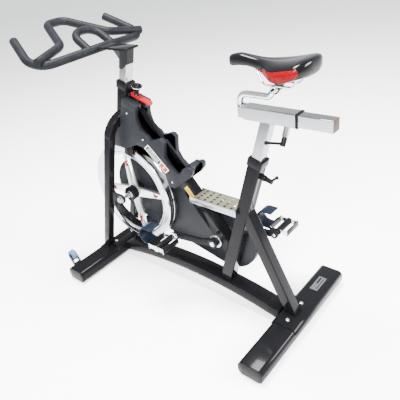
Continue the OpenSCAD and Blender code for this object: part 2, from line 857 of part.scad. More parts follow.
pedal_inner_y = pedal_spread - pedal_width / 2;
pedal_outer_y = pedal_spread + pedal_width / 2;
spindle_radius = 6;

module at_left_pedal() { translate([crank_x + crank_length, 0, crank_height]) children(); }

module at_right_pedal() { translate([crank_x - crank_length, 0, crank_height]) children(); }

module pedal_spindles() {
    color("#b8bac0") {
        at_left_pedal() {
            along_y(7, arm_out_y - crank_arm_width, arm_out_y + 3);
            along_y(spindle_radius, arm_out_y + 3, pedal_outer_y - 3);
        }
        at_right_pedal() {
            along_y(7, -arm_out_y - 3, -arm_out_y + crank_arm_width);
            along_y(spindle_radius, -pedal_outer_y + 3, -arm_out_y - 3);
        }
    }
}

// A cage pedal with its spindle bore along Y, drawn for the left side
module pedal_cage() {
    length = 78;
    height = 26;
    sheet = 3;
    difference() {
        union() {
            along_y(13, pedal_inner_y, pedal_outer_y - 1);
            for (x = [-length / 2, length / 2 - sheet])
                translate([x, pedal_inner_y + 6, -height / 2]) cube([sheet, pedal_width - 6, height]);
            for (y = [pedal_inner_y + 6, pedal_outer_y - 6])
                translate([-length / 2, y, -height / 2 + 4]) cube([length, sheet, height - 8]);
        }
        along_y(spindle_radius + running_clearance, 0, pedal_outer_y - 2.5);
    }
}

module left_pedal() { color("#c0c2c6") at_left_pedal() pedal_cage(); }

module right_pedal() { color("#c0c2c6") at_right_pedal() mirror([0, 1, 0]) pedal_cage(); }

// A toe clip: a plate in front of the cage and a hoop that curls up over the toes
module toe_clip() {
    width = 58;
    y0 = pedal_spread - width / 2;
    hoop = 36;
    color("#3d4a58") translate([39, y0, -13]) rotate([-90, 0, 0]) rotate([0, 0, 0]) {
        linear_extrude(width) difference() {
            union() {
                translate([0, -26]) square([4, 26]);
                translate([0, -4]) square([34, 4]);
                translate([34, -hoop]) difference() {
                    circle(hoop);
                    circle(hoop - 4);
                    translate([-2 * hoop, -2 * hoop]) square([2 * hoop, 4 * hoop]);
                }
                translate([0, -2 * hoop]) square([34, 4]);
            }
        }
    }
}

module left_toe_clip() { at_left_pedal() toe_clip(); }

module right_toe_clip() { at_right_pedal() mirror([0, 1, 0]) toe_clip(); }

// ---------------------------------------------------------------- handlebar

post_top_s = (bar_plate_top - 8) / cos(rake);

module handlebar_post() {
    color("#c6c8cc") difference() {
        at_head(head_s - bar_post_insert)
            square_tube(post_size, post_wall, 2.5, post_top_s - head_s + bar_post_insert + 20);
        translate([-FAR / 2, -FAR / 2, bar_plate_top - 8]) cube(FAR);
    }
}

module handlebar_mount() {
    sleeve = 1.5;
    color("#1b1c20") {
        translate([bar_post_x - bar_plate_rear, -bar_plate_width / 2, bar_plate_top - 8])
            cube([bar_plate_front + bar_plate_rear, bar_plate_width, 8]);
        difference() {
            at_head(post_top_s - 80) square_tube(post_size + 2 * sleeve, sleeve, 3, 110);
            translate([-FAR / 2, -FAR / 2, bar_plate_top - 8]) cube(FAR);
            translate([bar_post_x, 0, bar_plate_top - 66]) rotate([0, 32, 0])
                translate([-FAR / 2, -FAR / 2, -FAR]) cube(FAR);
        }
        difference() {
            side_plate(-3, 3) polygon([
                [bar_post_x + bar_plate_front - 6, bar_plate_top - 8],
                [bar_post_x + 10, bar_plate_top - 8],
                [bar_post_x + 40, bar_plate_top - 66],
                [bar_post_x + 46, bar_plate_top - 60]]);
            at_head(0) square_bar(post_size + 2 * sleeve, 3, FAR / 2);
        }
    }
}

bar_z = bar_plate_top - 6;
// Corners of the left half of each bent tube, from the middle of the crossbar
bar_corner = [bar_x + 66, bar_half_width, bar_z - 21];
bar_tip = [bar_x + 246, bar_half_width - 58, bar_z + 64];
loop_foot = [bar_x + 60, bar_half_width - 22, bar_z + 2];
loop_waist = [bar_x + 100, bar_half_width - 166, bar_z + 26];
loop_nose = [bar_x + 290, 42, bar_z + 84];
inner_foot = [bar_x + 14, 60, bar_z - 2];
inner_nose = [bar_x + 113, 56, bar_z + 56];
function other_side(p) = [p[0], -p[1], p[2]];

module handlebar() {
    r = bar_tube_diameter / 2;
    plate_end = bar_post_x + bar_plate_front;
    color("#33373d") {
        translate([plate_end, -bar_plate_width / 2, bar_plate_top - 8])
            cube([bar_x - plate_end, bar_plate_width, 8]);
        bent_tube(bent_path([bar_tip, bar_corner, [bar_x, 0, bar_z], other_side(bar_corner), other_side(bar_tip)],
            [75, 120, 75]), r, [0, 0, 1]);
        bent_tube(bent_path([loop_foot, loop_waist, loop_nose, other_side(loop_nose),
            other_side(loop_waist), other_side(loop_foot)], [55, 40, 40, 55]), r, [0, 0, 1]);
        bent_tube(bent_path([inner_foot, inner_nose, other_side(inner_nose), other_side(inner_foot)],
            [50, 50]), r - 1, [0, 0, 1]);
    }
}

// ---------------------------------------------------------------- seat post and saddle

module seat_post() {
    color("#c6c8cc") difference() {
        at_seat(seat_s - seat_post_insert) square_tube(post_size, post_wall, 2.5, seat_post_insert + seat_post_reach + 60);
        translate([-FAR / 2, -FAR / 2, sleeve_mid_z - sleeve_size / 2]) cube(FAR);
    }
}

sleeve_boss = 60;
module at_slider_screw() {
    translate([clamp_screw_x, 0, sleeve_mid_z]) rotate([clamp_screw_tilt + 180, 0, 0]) children();
}

module slider_sleeve() {
    bush = 7;
    color("#c6c8cc") difference() {
        union() {
            translate([sleeve_x0, 0, sleeve_mid_z]) rotate([0, 90, 0])
                linear_extrude(sleeve_length) rounded(sleeve_size, sleeve_size, 4);
            at_slider_screw() cylinder(r = 10, h = sleeve_boss);
        }
        translate([sleeve_x0 - 1, 0, sleeve_mid_z]) rotate([0, 90, 0])
            linear_extrude(sleeve_length + 2) rounded(slider_hole, slider_hole, 2.5);
        at_slider_screw() cylinder(r = 6, h = sleeve_boss + 10);
    }
    color("#101114") translate([sleeve_x0 - bush, 0, sleeve_mid_z]) rotate([0, 90, 0])
        linear_extrude(bush) difference() {
            rounded(sleeve_size + 2, sleeve_size + 2, 4);
            rounded(slider_hole, slider_hole, 2.5);
        }
}

stem_socket = 22;
module slider_bar() {
    cap = 4;
    color("#c6c8cc") translate([slider_x0 + cap, 0, sleeve_mid_z]) rotate([0, 90, 0])
        square_tube(slider_size, post_wall, 2.5, slider_length - cap);
    color("#c6c8cc") translate([stem_x, 0, sleeve_mid_z - slider_size / 2 - 2])
        cylinder(d = stem_diameter, h = slider_size / 2 + 2 + stem_socket);
    color("#3a2c24") translate([slider_x0, 0, sleeve_mid_z]) rotate([0, 90, 0]) {
        linear_extrude(cap) rounded(slider_size, slider_size, 2.5);
        translate([0, 0, cap - 1]) linear_extrude(15)
            rounded(slider_size - 2 * post_wall, slider_size - 2 * post_wall, 1);
    }
}

stem_level = sleeve_mid_z + 58;
// The stem's last straight piece leans back towards the clamp
stem_knee = [clamp_x + 30, 0, stem_level];
stem_aim = unit([clamp_x, 0, clamp_z] - stem_knee);
stem_end = [clamp_x, 0, clamp_z] - stem_aim * 18;
clamp_radius = 12;

module saddle_stem() {
    color("#d5d7da") bent_tube(bent_path([[stem_x, 0, sleeve_mid_z + stem_socket], [stem_x, 0, stem_level],
        stem_knee, stem_end], [26, 14]), stem_diameter / 2, [0, 1, 0], 16);
}

// Clamp on top of the stem, with the cross bolt that the saddle tilts on
module saddle_clamp() {
    bolt_half = 34;
    color("#26282c") {
        translate(stem_end) rotate([0, atan2(stem_aim[0], stem_aim[2]), 0]) cylinder(r = clamp_radius + 1, h = 14);
        translate([clamp_x, 0, clamp_z]) along_y(clamp_radius, -15, 15);
        translate([clamp_x, 0, clamp_z]) along_y(tilt_bolt_diameter / 2, -bolt_half, bolt_half);
    }
}

rail_gap = 44;
saddle_rail_z = clamp_z + 11;

// The two steel rails and the grips that turn on the clamp's bolt
module saddle_rails() {
    rail_r = 3.5;
    color("#c9cbd0") for (side = [-1, 1]) {
        difference() {
            union() {
                translate([clamp_x, side * 22, clamp_z]) along_y(11, -6, 6);
                translate([clamp_x - 20, side * 22 - 6, saddle_rail_z - 4]) cube([40, 12, 8]);
            }
            translate([clamp_x, 0, clamp_z]) along_y(tilt_bolt_diameter / 2 + running_clearance, -60, 60);
        }
        bent_tube(bent_path([[saddle_tail_x + 34, side * 34, saddle_rail_z + 40],
            [saddle_tail_x + 62, side * rail_gap / 2, saddle_rail_z],
            [clamp_x + 60, side * rail_gap / 2, saddle_rail_z],
            [saddle_tail_x + saddle_length - 46, side * 9, saddle_rail_z + 54]], [24, 24], 3),
            rail_r, [0, 0, 1], 8);
    }
}

// Half-width, top and underside of the saddle at a share of its length, tail to nose
function saddle_half(u) = saddle_width / 2 * pow(sin(90 * min(1, u / 0.13 + 0.12)), 0.5)
    * (0.23 + 0.77 / (1 + exp((u - 0.46) * 15))) * pow(max(0, min(1, (1.02 - u) / 0.07)), 0.4);
function saddle_top(u) = saddle_z + 6 - 15 * sin(180 * min(1, max(0, (u - 0.08) / 0.78))) - 12 * pow(u, 9);
function saddle_under(u) = saddle_z - 34 - 38 * pow(sin(180 * min(1, (u + 0.14) / 0.92)), 2) - 6 * u;

module saddle() {
    steps = 22;
    sides = 16;
    function outline(u) = let (h = saddle_half(u), top = saddle_top(u), low = saddle_under(u),
            x = saddle_tail_x + u * saddle_length, mid = (top + low) / 2)
        [for (k = [0:sides - 1]) let (a = 360 * k / sides, c = cos(a), s = sin(a))
            [x, h * sign(c) * pow(abs(c), 0.75), mid + (s > 0 ? (top - mid) : (mid - low) * 0.999) * sign(s) * pow(abs(s), 0.75)]];
    points = [for (i = [0:steps]) each outline(i / steps)];
    walls = [for (i = [0:steps - 1], k = [0:sides - 1])
        let (a = i * sides + k, b = i * sides + (k + 1) % sides)
        each [[a, b, a + sides], [b, b + sides, a + sides]]];
    ends = [[for (k = [sides - 1:-1:0]) k], [for (k = [0:sides - 1]) steps * sides + k]];
    color("#17181b") polyhedron(points = points, faces = concat(walls, ends), convexity = 6);
}

// ---------------------------------------------------------------- brake and clamps

lever_s = head_s - 45;
knob_s = lever_s + 15;

module stop_lever() {
    thick = 7;
    width = 26;
    color("#d92626") difference() {
        at_head(lever_s) union() {
            translate([-lever_length, -width / 2, 0]) cube([lever_length - tube_size / 2 - 14, width, thick]);
            translate([-lever_length, 0, 0]) cylinder(r = width / 2, h = thick);
            translate([-tube_size / 2 - 14, 0, thick / 2]) along_y(7, -width / 2, width / 2);
        }
        brake_line(brake_rod_diameter / 2 + 4, lever_s - 20, lever_s + 40);
        at_head(lever_s) translate([-tube_size / 2 - 14, 0, thick / 2]) along_y(3 + running_clearance, -40, 40);
    }
}

module welded_bosses() {
    color("#1b1c20") {
        difference() {
            brake_line(guide_radius, guide_s0, guide_s1);
            brake_line(brake_rod_diameter / 2 + running_clearance, guide_s0 - 1, guide_s1 + 1);
        }
        at_head(lever_s) {
            for (side = [-1, 1]) translate([-tube_size / 2 - 14, side * 16, 3.5]) {
                along_y(7, -2, 2);
                translate([0, -2, -7]) cube([14, 4, 14]);
            }
            translate([-tube_size / 2 - 14, 0, 3.5]) along_y(3, -20, 20);
        }
        for (p = [down_point(60, 0), down_point(-50, 0), down_point(150, 0)])
            translate([p[0], 0, p[1]]) along_y(8, guard_in_y, -tube_size / 2);
        at_head(head_clamp_s) rotate([90, 0, 0]) translate([0, 0, tube_size / 2]) clamp_boss();
        at_seat(seat_clamp_s) rotate([0, -90, 0]) translate([0, 0, tube_size / 2]) clamp_boss();
    }
}

boss_length = 18;
module clamp_boss() {
    difference() {
        cylinder(r = 11, h = boss_length);
        translate([0, 0, -1]) cylinder(r = 6, h = boss_length + 2);
    }
}

// A screw with a ratchet handle, along +Z from its tip; arm_angle turns the handle's arm
module clamp_lever(screw, arm, arm_angle) {
    cylinder(r = 6 - running_clearance, h = screw);
    translate([0, 0, screw]) cylinder(r = 9, h = 8);
    translate([0, 0, screw + 8]) cylinder(r1 = 9, r2 = 8, h = 20, $fn = 48);
    rotate([0, 0, arm_angle]) translate([0, 0, screw + 19]) {
        rotate([0, 82, 0]) cylinder(r = 4.5, h = arm);
        translate([arm * sin(82), 0, arm * cos(82)]) sphere(r = 7);
    }
}

screw_rest = 0.6;
clamp_screw_x = seat_mid_x - 74;
clamp_screw_tilt = 30;

module head_clamp_lever() {
    gap = post_size / 2 + screw_rest;
    color("#1b1c20") at_head(head_clamp_s) rotate([90, 0, 0]) translate([0, 0, gap])
        clamp_lever(tube_size / 2 + boss_length + 1 - gap, 44, 270);
}

module seat_clamp_lever() {
    gap = post_size / 2 + screw_rest;
    color("#1b1c20") at_seat(seat_clamp_s) rotate([0, -90, 0]) translate([0, 0, gap])
        clamp_lever(tube_size / 2 + boss_length + 1 - gap, 34, 270);
}

module slider_clamp_lever() {
    gap = slider_size / 2 / cos(clamp_screw_tilt) + 4;
    color("#1b1c20") at_slider_screw() translate([0, 0, gap]) clamp_lever(sleeve_boss + 1 - gap, 58, 0);
}

module brake_knob() {
    cap = knob_diameter / 2;
    color("#1a1b1e") {
        brake_line(brake_rod_diameter / 2, brake_s0 + 24, knob_s + 4);
        at_head(knob_s) translate([-brake_offset, 0, 0]) rotate_extrude() polygon([
            [0, 0], [10, 0], [9, 12], [12, 20], [cap - 2, 26], [cap, 29], [cap, 33], [cap - 4, 36], [0, 36]]);
    }
}

module brake_shoe() {
    block = 44;
    cheek = 6;
    half = rim_width / 2 + 5;
    color("#2a2c30") {
        at_head(brake_s0) translate([-brake_offset - block / 2, -half - cheek, 0])
            cube([block, 2 * (half + cheek), 10]);
        for (side = [-1, 1]) at_head(brake_s0) translate([-brake_offset - block / 2,
            side * (half + cheek / 2) - cheek / 2, -44]) cube([block, cheek, 44]);
        brake_line(9, brake_s0 + 10, brake_s0 + 22);
    }
}

module brake_pads() {
    color("#5a3f2a") difference() {
        at_head(brake_s0) translate([-brake_offset - 20, -rim_width / 2 + 3, -12])
            cube([40, rim_width - 6, 12]);
        at_wheel() along_y(wheel_radius + pad_gap, -60, 60);
    }
}

module transport_wheel(side) {
    color("#5d7fb5") translate([front_foot_x + roller_forward, side * roller_spread, roller_height])
        ring_y(roller_diameter / 2, 4 + running_clearance, -11, 11);
}

module left_transport_wheel() { transport_wheel(1); }

module right_transport_wheel() { transport_wheel(-1); }

rear_foot();
front_foot();
foot_caps();
foot_pads();
base_rail();
foot_plates();
foot_bolts();
fork_legs();
fork_arch();
head_tube();
down_tube();
seat_tube();
post_bushes();
rear_stay();
bottom_bracket();
bearings();
tread_plate();
cover_screws();
shroud_left();
shroud_right();
bottle_holder();
belt_guard_inner();
belt_guard_outer();
axle_brackets();
wheel_axle();
axle_nuts();
drive_belt();
welded_bosses();
wheel_rim();
wheel_spider();
hub_pulley();
spoke_clips();
crank_axle();
drive_pulley();
left_crank();
right_crank();
pedal_spindles();
left_pedal();
right_pedal();
left_toe_clip();
right_toe_clip();
handlebar_post();
handlebar_mount();
handlebar();
seat_post();
slider_sleeve();
slider_bar();
saddle_stem();
saddle_clamp();
saddle();
saddle_rails();
stop_lever();
brake_knob();
brake_shoe();
brake_pads();
head_clamp_lever();
seat_clamp_lever();
slider_clamp_lever();
left_transport_wheel();
right_transport_wheel();
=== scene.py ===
# %% [markdown]
# An indoor training bike, dressed around its engineering model. Each later cell makes one piece or
# one finish: either a cleaned, edge-rounded copy of an engineering piece, or a new mesh in its place.

# %% load the engineering model
import bpy
import bmesh
import json
import math
from mathutils import Vector, Matrix


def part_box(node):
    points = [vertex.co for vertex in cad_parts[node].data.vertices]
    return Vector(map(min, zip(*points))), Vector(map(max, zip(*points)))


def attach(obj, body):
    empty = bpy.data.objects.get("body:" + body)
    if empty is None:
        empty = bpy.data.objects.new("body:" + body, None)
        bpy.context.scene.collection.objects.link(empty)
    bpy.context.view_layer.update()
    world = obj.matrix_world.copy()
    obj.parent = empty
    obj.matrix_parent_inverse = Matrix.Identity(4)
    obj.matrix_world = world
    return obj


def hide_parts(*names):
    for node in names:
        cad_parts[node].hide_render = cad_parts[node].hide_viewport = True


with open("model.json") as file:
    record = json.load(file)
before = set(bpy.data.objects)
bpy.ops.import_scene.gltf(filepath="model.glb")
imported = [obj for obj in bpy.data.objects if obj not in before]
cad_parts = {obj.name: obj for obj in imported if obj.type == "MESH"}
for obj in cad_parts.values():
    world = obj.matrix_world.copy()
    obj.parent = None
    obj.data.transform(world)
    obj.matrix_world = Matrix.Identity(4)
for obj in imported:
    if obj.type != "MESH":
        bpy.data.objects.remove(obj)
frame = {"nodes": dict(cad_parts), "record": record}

MM = 0.001
nodes = frame["nodes"]
body_by_node = {n: b for b, members in frame["record"]["behaviour"]["bodies"].items() for n in members}
slot_by_node = {s["node"]: s["material_slot"] for s in frame["record"]["subparts"]}
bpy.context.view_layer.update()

# %% [markdown]
# Finishes are built from shader nodes. Long chains of Math nodes are hard to read, so a small class
# wraps a socket and lets ordinary Python arithmetic add the nodes: `1 - mask * 0.3` is three of them.
# One method, `Shop.add`, makes any other node from its type, its settings and its inputs.

# %% shader arithmetic and a node maker
class Value:
    """A number socket that takes part in Python arithmetic."""
    def __init__(self, shop, socket):
        self.shop, self.socket = shop, socket

    def _maths(self, operation, *values):
        made = self.shop.add("ShaderNodeMath", {"operation": operation}, dict(enumerate(values)))
        return Value(self.shop, made.outputs[0])

    def __add__(self, other):
        return self._maths("ADD", self, other)

    def __sub__(self, other):
        return self._maths("SUBTRACT", self, other)

    def __mul__(self, other):
        return self._maths("MULTIPLY", self, other)

    def __rsub__(self, other):
        return self._maths("SUBTRACT", other, self)

    __radd__ = __add__
    __rmul__ = __mul__


print("sockets take part in arithmetic")

# %% [markdown]
# Every finish starts from the same shader and needs the same few nodes. A small workshop class
# holds one material and hands them out, so that a finish below reads as a short recipe.

# %% a node maker
class Shop:
    """Makes the nodes of one material."""
    def __init__(self, name):
        self.material = bpy.data.materials.new(name)
        self.material.use_nodes = True
        self.tree = self.material.node_tree
        self.shader = self.tree.nodes["Principled BSDF"]
        self.place = self.add("ShaderNodeTexCoord").outputs["Object"]

    def add(self, kind, settings=None, inputs=None):
        made = self.tree.nodes.new(kind)
        for key, value in (settings or {}).items():
            if key == "stops":
                ramp = made.color_ramp
                while len(ramp.elements) < len(value):
                    ramp.elements.new(0.5)
                for element, (at, colour) in zip(ramp.elements, value):
                    element.position, element.color = at, (*colour, 1)
            else:
                setattr(made, key, value)
        for key, value in (inputs or {}).items():
            self.feed(made.inputs[key], value)
        return made

    def feed(self, socket, value):
        if isinstance(value, Value):
            value = value.socket
        if isinstance(value, bpy.types.NodeSocket):
            self.tree.links.new(value, socket)
        else:
            socket.default_value = value

    def noise(self, scale, detail=3.0, stretch=(1, 1, 1), rough=0.55):
        there = self.add("ShaderNodeMapping", inputs={"Vector": self.place, "Scale": stretch})
        made = self.add("ShaderNodeTexNoise", inputs={
            "Vector": there.outputs[0], "Scale": scale, "Detail": detail, "Roughness": rough})
        return Value(self, made.outputs["Fac"])

    def cells(self, scale):
        made = self.add("ShaderNodeTexVoronoi", inputs={"Vector": self.place, "Scale": scale})
        return Value(self, made.outputs["Distance"])

    def blend_colours(self, share, first, second):
        made = self.add("ShaderNodeMix", {"data_type": "RGBA"})
        self.feed(made.inputs[0], share)
        for socket, colour in ((made.inputs[6], first), (made.inputs[7], second)):
            self.feed(socket, (*colour, 1) if isinstance(colour, tuple) else colour)
        return made.outputs[2]

    def bump(self, height, distance, strength):
        made = self.add("ShaderNodeBump", inputs={
            "Height": height, "Distance": distance, "Strength": strength})
        self.feed(self.shader.inputs["Normal"], made.outputs[0])

    def set(self, **values):
        for name, value in values.items():
            self.feed(self.shader.inputs[name.replace("_", " ")], value)


print("node maker ready")

# %% [markdown]
# Paint, plating and moulded plastic are all the same shader with other numbers. What tells them apart
# is how the colour wanders, how the gloss varies and what the surface does at a millimetre: paint has
# a faint orange peel, drawn tube has fine lines along it, moulded plastic has a spark-eroded grain.

# %% recipes for paint, metal, plastic and rubber
def paint(name, colour, rough=0.13, coat=0.035, shine=0.03):
    shop = Shop(name)
    cloud = shop.noise(9, 4)
    peel = shop.noise(420, 2)
    dust = shop.noise(60, 6, rough=0.7)
    light = tuple(min(1, c * 1.3 + 0.001) for c in colour)
    shop.set(Base_Color=shop.blend_colours(cloud, colour, light), Roughness=dust * 0.1 + (rough - 0.06),
             Coat_Weight=coat, Coat_Roughness=0.04, Specular_IOR_Level=shine)
    shop.bump(peel, 0.00008, 0.3)
    return shop.material


def bright_metal(name, colour, rough=0.28, lines=(4, 4, 260), depth=0.00006):
    shop = Shop(name)
    grain = shop.noise(7, 5, lines)
    smear = shop.noise(14, 4)
    dark = tuple(c * 0.82 for c in colour)
    shop.set(Base_Color=shop.blend_colours(grain * 0.7 + smear * 0.3, dark, colour), Metallic=1.0,
             Roughness=grain * 0.14 + smear * 0.12 + (rough - 0.13))
    shop.bump(grain, depth, 0.4)
    return shop.material


def plating(name, colour, rough=0.07):
    shop = Shop(name)
    smear = shop.noise(11, 5)
    speck = shop.noise(240, 2)
    shop.set(Base_Color=shop.blend_colours(smear, tuple(c * 0.9 for c in colour), colour), Metallic=1.0,
             Roughness=smear * 0.12 + speck * 0.03 + rough)
    shop.bump(shop.noise(55, 2), 0.00008, 0.25)
    return shop.material


def moulded(name, colour, rough=0.5, grain=900, depth=0.00012, shine=0.05):
    shop = Shop(name)
    cloud = shop.noise(12, 4)
    erosion = shop.cells(grain)
    light = tuple(min(1, c * 1.2 + 0.001) for c in colour)
    shop.set(Base_Color=shop.blend_colours(cloud, colour, light),
             Roughness=cloud * 0.14 + erosion * 0.12 + (rough - 0.1), Specular_IOR_Level=shine)
    shop.bump(erosion, depth, 0.5)
    return shop.material


def rubbery(name, colour, rough=0.75):
    shop = Shop(name)
    pores = shop.noise(650, 4)
    cloud = shop.noise(18, 3)
    light = tuple(min(1, c * 1.5 + 0.006) for c in colour)
    shop.set(Base_Color=shop.blend_colours(cloud, colour, light), Roughness=pores * 0.2 + (rough - 0.1),
             Specular_IOR_Level=0.04)
    shop.bump(pores, 0.00025, 0.6)
    return shop.material


print("five recipes ready")

# %% [markdown]
# Each material slot of the model gets one finish. The studio light is strong, so the colours are
# far darker than they look in the end, and black pieces reflect very little.

# %% one finish for each slot
finish_by_slot = {
    "frame_paint": paint("black enamel", (0.0025, 0.0025, 0.003)),
    "silver_tube": bright_metal("satin silver tube", (0.27, 0.275, 0.285), 0.26),
    "chrome": plating("polished plating", (0.50, 0.51, 0.53)),
    "spoke_metal": bright_metal("cast silver", (0.74, 0.75, 0.76), 0.36, (1, 1, 1), 0.0001),
    "steel": bright_metal("turned steel", (0.5, 0.51, 0.53), 0.26, (30, 200, 30)),
    "grey_plastic": moulded("grey moulding", (0.006, 0.0065, 0.008), 0.36),
    "black_plastic": moulded("black moulding", (0.002, 0.002, 0.0025), 0.3),
    "guard_plastic": moulded("dark gloss moulding", (0.006, 0.0065, 0.008), 0.28, 500, 0.00006),
    "rubber": rubbery("black rubber", (0.016, 0.016, 0.017)),
    "foam_coat": rubbery("dipped grip coat", (0.0015, 0.0018, 0.0026), 0.45),
    "clip_plastic": moulded("blue grey moulding", (0.003, 0.005, 0.009), 0.3),
    "red_plastic": moulded("red moulding", (0.15, 0.0, 0.002), 0.22, 400, 0.00005, 0.12),
    "plate_metal": paint("olive grey plate", (0.055, 0.052, 0.036), 0.4, 0.1),
    "saddle_skin": moulded("saddle cover", (0.001, 0.001, 0.0014), 0.12, 1400, 0.00003, 0.12),
    "felt": rubbery("pressed felt", (0.12, 0.06, 0.03), 0.9),
    "roller_plastic": moulded("blue moulding", (0.05, 0.085, 0.17), 0.4),
}
print(len(finish_by_slot), "finishes")

# %% [markdown]
# An engineering mesh is loose triangles with knife-sharp edges, and no real tube or plate has those.
# A copy is welded, its flat faces are dissolved, its edges are rounded a little and its faces are
# smoothed up to the remaining sharp angles. The rounding is what catches the light along each tube.

# %% a rounded copy of an engineering piece
FLAT_ANGLE, SHARP_ANGLE, SMOOTH_ANGLE = (math.radians(a) for a in (1.5, 35, 34))
CAD_WELD, WELD = 0.00002, 0.00001


def keep(name, mesh_or_bm, body, slot_name, material=None):
    """Turns a mesh into a finished piece at the origin, smoothed, painted and riding on its body."""
    if isinstance(mesh_or_bm, bmesh.types.BMesh):
        mesh = bpy.data.meshes.new(name)
        mesh_or_bm.to_mesh(mesh)
        mesh_or_bm.free()
    else:
        mesh = mesh_or_bm
    mesh.name = name
    obj = bpy.data.objects.new(name, mesh)
    bpy.context.scene.collection.objects.link(obj)
    if material is not None or not mesh.materials:
        mesh.materials.clear()
        mesh.materials.append(material or finish_by_slot[slot_name])
    mesh.shade_smooth()
    mesh.set_sharp_from_angle(angle=SMOOTH_ANGLE)
    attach(obj, body)
    return obj


def second_finish(obj, material, chosen):
    """Gives a second finish to the faces whose middle, in millimetres, is chosen."""
    obj.data.materials.append(material)
    for face in obj.data.polygons:
        if chosen(face.center / MM):
            face.material_index = 1


def rounded_copy(node, width, material=None):
    """Replaces a CAD node by a welded copy with rounded edges."""
    bm = bmesh.new()
    bm.from_mesh(nodes[node].data)
    bmesh.ops.remove_doubles(bm, verts=bm.verts, dist=CAD_WELD)
    bmesh.ops.dissolve_limit(bm, angle_limit=FLAT_ANGLE, verts=bm.verts, edges=bm.edges)
    sharp = [e for e in bm.edges if len(e.link_faces) == 2 and e.calc_face_angle(0) > SHARP_ANGLE]
    bmesh.ops.bevel(bm, geom=sharp, offset=width * MM, segments=2, profile=0.5,
                    affect="EDGES", clamp_overlap=True)
    bmesh.ops.triangulate(bm, faces=[f for f in bm.faces if len(f.verts) > 4])
    obj = keep(node + "_finished", bm, body_by_node[node], slot_by_node[node], material)
    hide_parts(node)
    return obj


print("weld at", CAD_WELD, "m")

# %% [markdown]
# Most pieces keep the engineering shape. A casting or a moulding has broad round edges, while sawn
# tube and pressed plate have narrow ones, so each piece has its own width in millimetres.

# %% which pieces are carried over, and how round their edges are
edge_widths = {
    "rear_foot": 0.6, "front_foot": 0.6, "foot_caps": 1.6, "foot_pads": 1.5, "base_rail": 2.5,
    "foot_plates": 0.6, "fork_legs": 0.5, "fork_arch": 0.5, "head_tube": 0.5, "down_tube": 0.4,
    "seat_tube": 0.5, "post_bushes": 1.2, "rear_stay": 0.5, "bottom_bracket": 0.8, "bearings": 0.3,
    "tread_plate": 0.4, "axle_brackets": 1.2, "wheel_axle": 0.8, "axle_nuts": 0.8, "drive_belt": 0.5,
    "welded_bosses": 0.6, "wheel_spider": 1.4, "hub_pulley": 0.4, "spoke_clips": 0.8,
    "crank_axle": 0.8, "drive_pulley": 0.5, "left_crank": 2.0, "right_crank": 2.0,
    "pedal_spindles": 0.5, "left_pedal": 0.9, "right_pedal": 0.9, "left_toe_clip": 0.9,
    "right_toe_clip": 0.9, "handlebar_post": 0.4, "handlebar_mount": 0.5, "seat_post": 0.4,
    "slider_sleeve": 0.8, "slider_bar": 0.6, "saddle_clamp": 1.0, "stop_lever": 1.4,
    "brake_shoe": 1.0, "brake_pads": 0.5, "head_clamp_lever": 0.5, "seat_clamp_lever": 0.5,
    "slider_clamp_lever": 0.5, "bottle_holder": 1.0, "left_transport_wheel": 1.5,
    "right_transport_wheel": 1.5, "shroud_left": 2.2, "shroud_right": 2.2,
}
enamel, black = finish_by_slot["frame_paint"], finish_by_slot["black_plastic"]
other_base = {"brake_shoe": black}
finished = {node: rounded_copy(node, width, other_base.get(node)) for node, width in edge_widths.items()}
print(len(finished), "rounded copies")

# %% [markdown]
# Several pieces are two colours: the pedals have plated side plates on a black cage, the wheel's
# spokes are silver round a black hub, and the saddle slider has a black bush and a dark end cap.

# %% second finishes
PEDAL_SIDE, PEDAL_END, CRANK_FACE = (5.5, 9.8), 6.5, 0.8
HUB_RADIUS, HUB_FACE = 44, 7
BUSH_END, SLIDER_CAP, TREAD_FLANGE = 7.5, 6, 37.5
plated = finish_by_slot["chrome"]
brown = moulded("dark brown moulding", (0.03, 0.016, 0.008), 0.45)
wheel_low, wheel_high = (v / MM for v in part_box("wheel_rim"))
wheel = ((wheel_low.x + wheel_high.x) / 2, (wheel_low.z + wheel_high.z) / 2)
for node in ("left_pedal", "right_pedal"):
    near, out = sorted(abs(v.y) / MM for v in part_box(node))
    second_finish(finished[node], plated, lambda c: PEDAL_SIDE[0] < abs(c.y) - near < PEDAL_SIDE[1]
                  or abs(c.y) > out - PEDAL_END)
for node in ("left_crank", "right_crank"):
    out = max(abs(v.y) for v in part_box(node)) / MM
    second_finish(finished[node], plated, lambda c: abs(c.y) > out - CRANK_FACE)
second_finish(finished["wheel_spider"], enamel,
              lambda c: math.hypot(c.x - wheel[0], c.z - wheel[1]) < HUB_RADIUS and abs(c.y) > HUB_FACE)
sleeve_low, slider_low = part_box("slider_sleeve")[0] / MM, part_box("slider_bar")[0] / MM
second_finish(finished["slider_sleeve"], black, lambda c: c.x < sleeve_low.x + BUSH_END)
second_finish(finished["slider_bar"], brown, lambda c: c.x < slider_low.x + SLIDER_CAP)
second_finish(finished["tread_plate"], finish_by_slot["silver_tube"], lambda c: abs(c.y) > TREAD_FLANGE)
print("wheel centre", round(wheel[0], 1), round(wheel[1], 1))

# %% [markdown]
# The handlebar is one bent tube in a thick dipped coat, with an outer and an inner loop welded to
# it. A tube along a path is a rule, so Geometry Nodes makes it: the path comes in as a curve, the
# radius and the number of sides are named inputs, and the ends are closed.

# %% bent paths and a Geometry Nodes tube
def bent_path(corners, radii, steps=14):
    """Straight pieces joined by round bends."""
    corners = [Vector(c) for c in corners]
    points = [corners[0]]
    for a, b, c, r in zip(corners, corners[1:], corners[2:], radii):
        u, v = (a - b).normalized(), (c - b).normalized()
        half = u.angle(v) / 2
        middle = b + (u + v).normalized() * r / math.sin(half)
        first, last = b + u * r / math.tan(half) - middle, b + v * r / math.tan(half) - middle
        for i in range(steps + 1):
            points.append(middle + first.normalized().slerp(last.normalized(), i / steps) * r)
    return points + [corners[-1]]


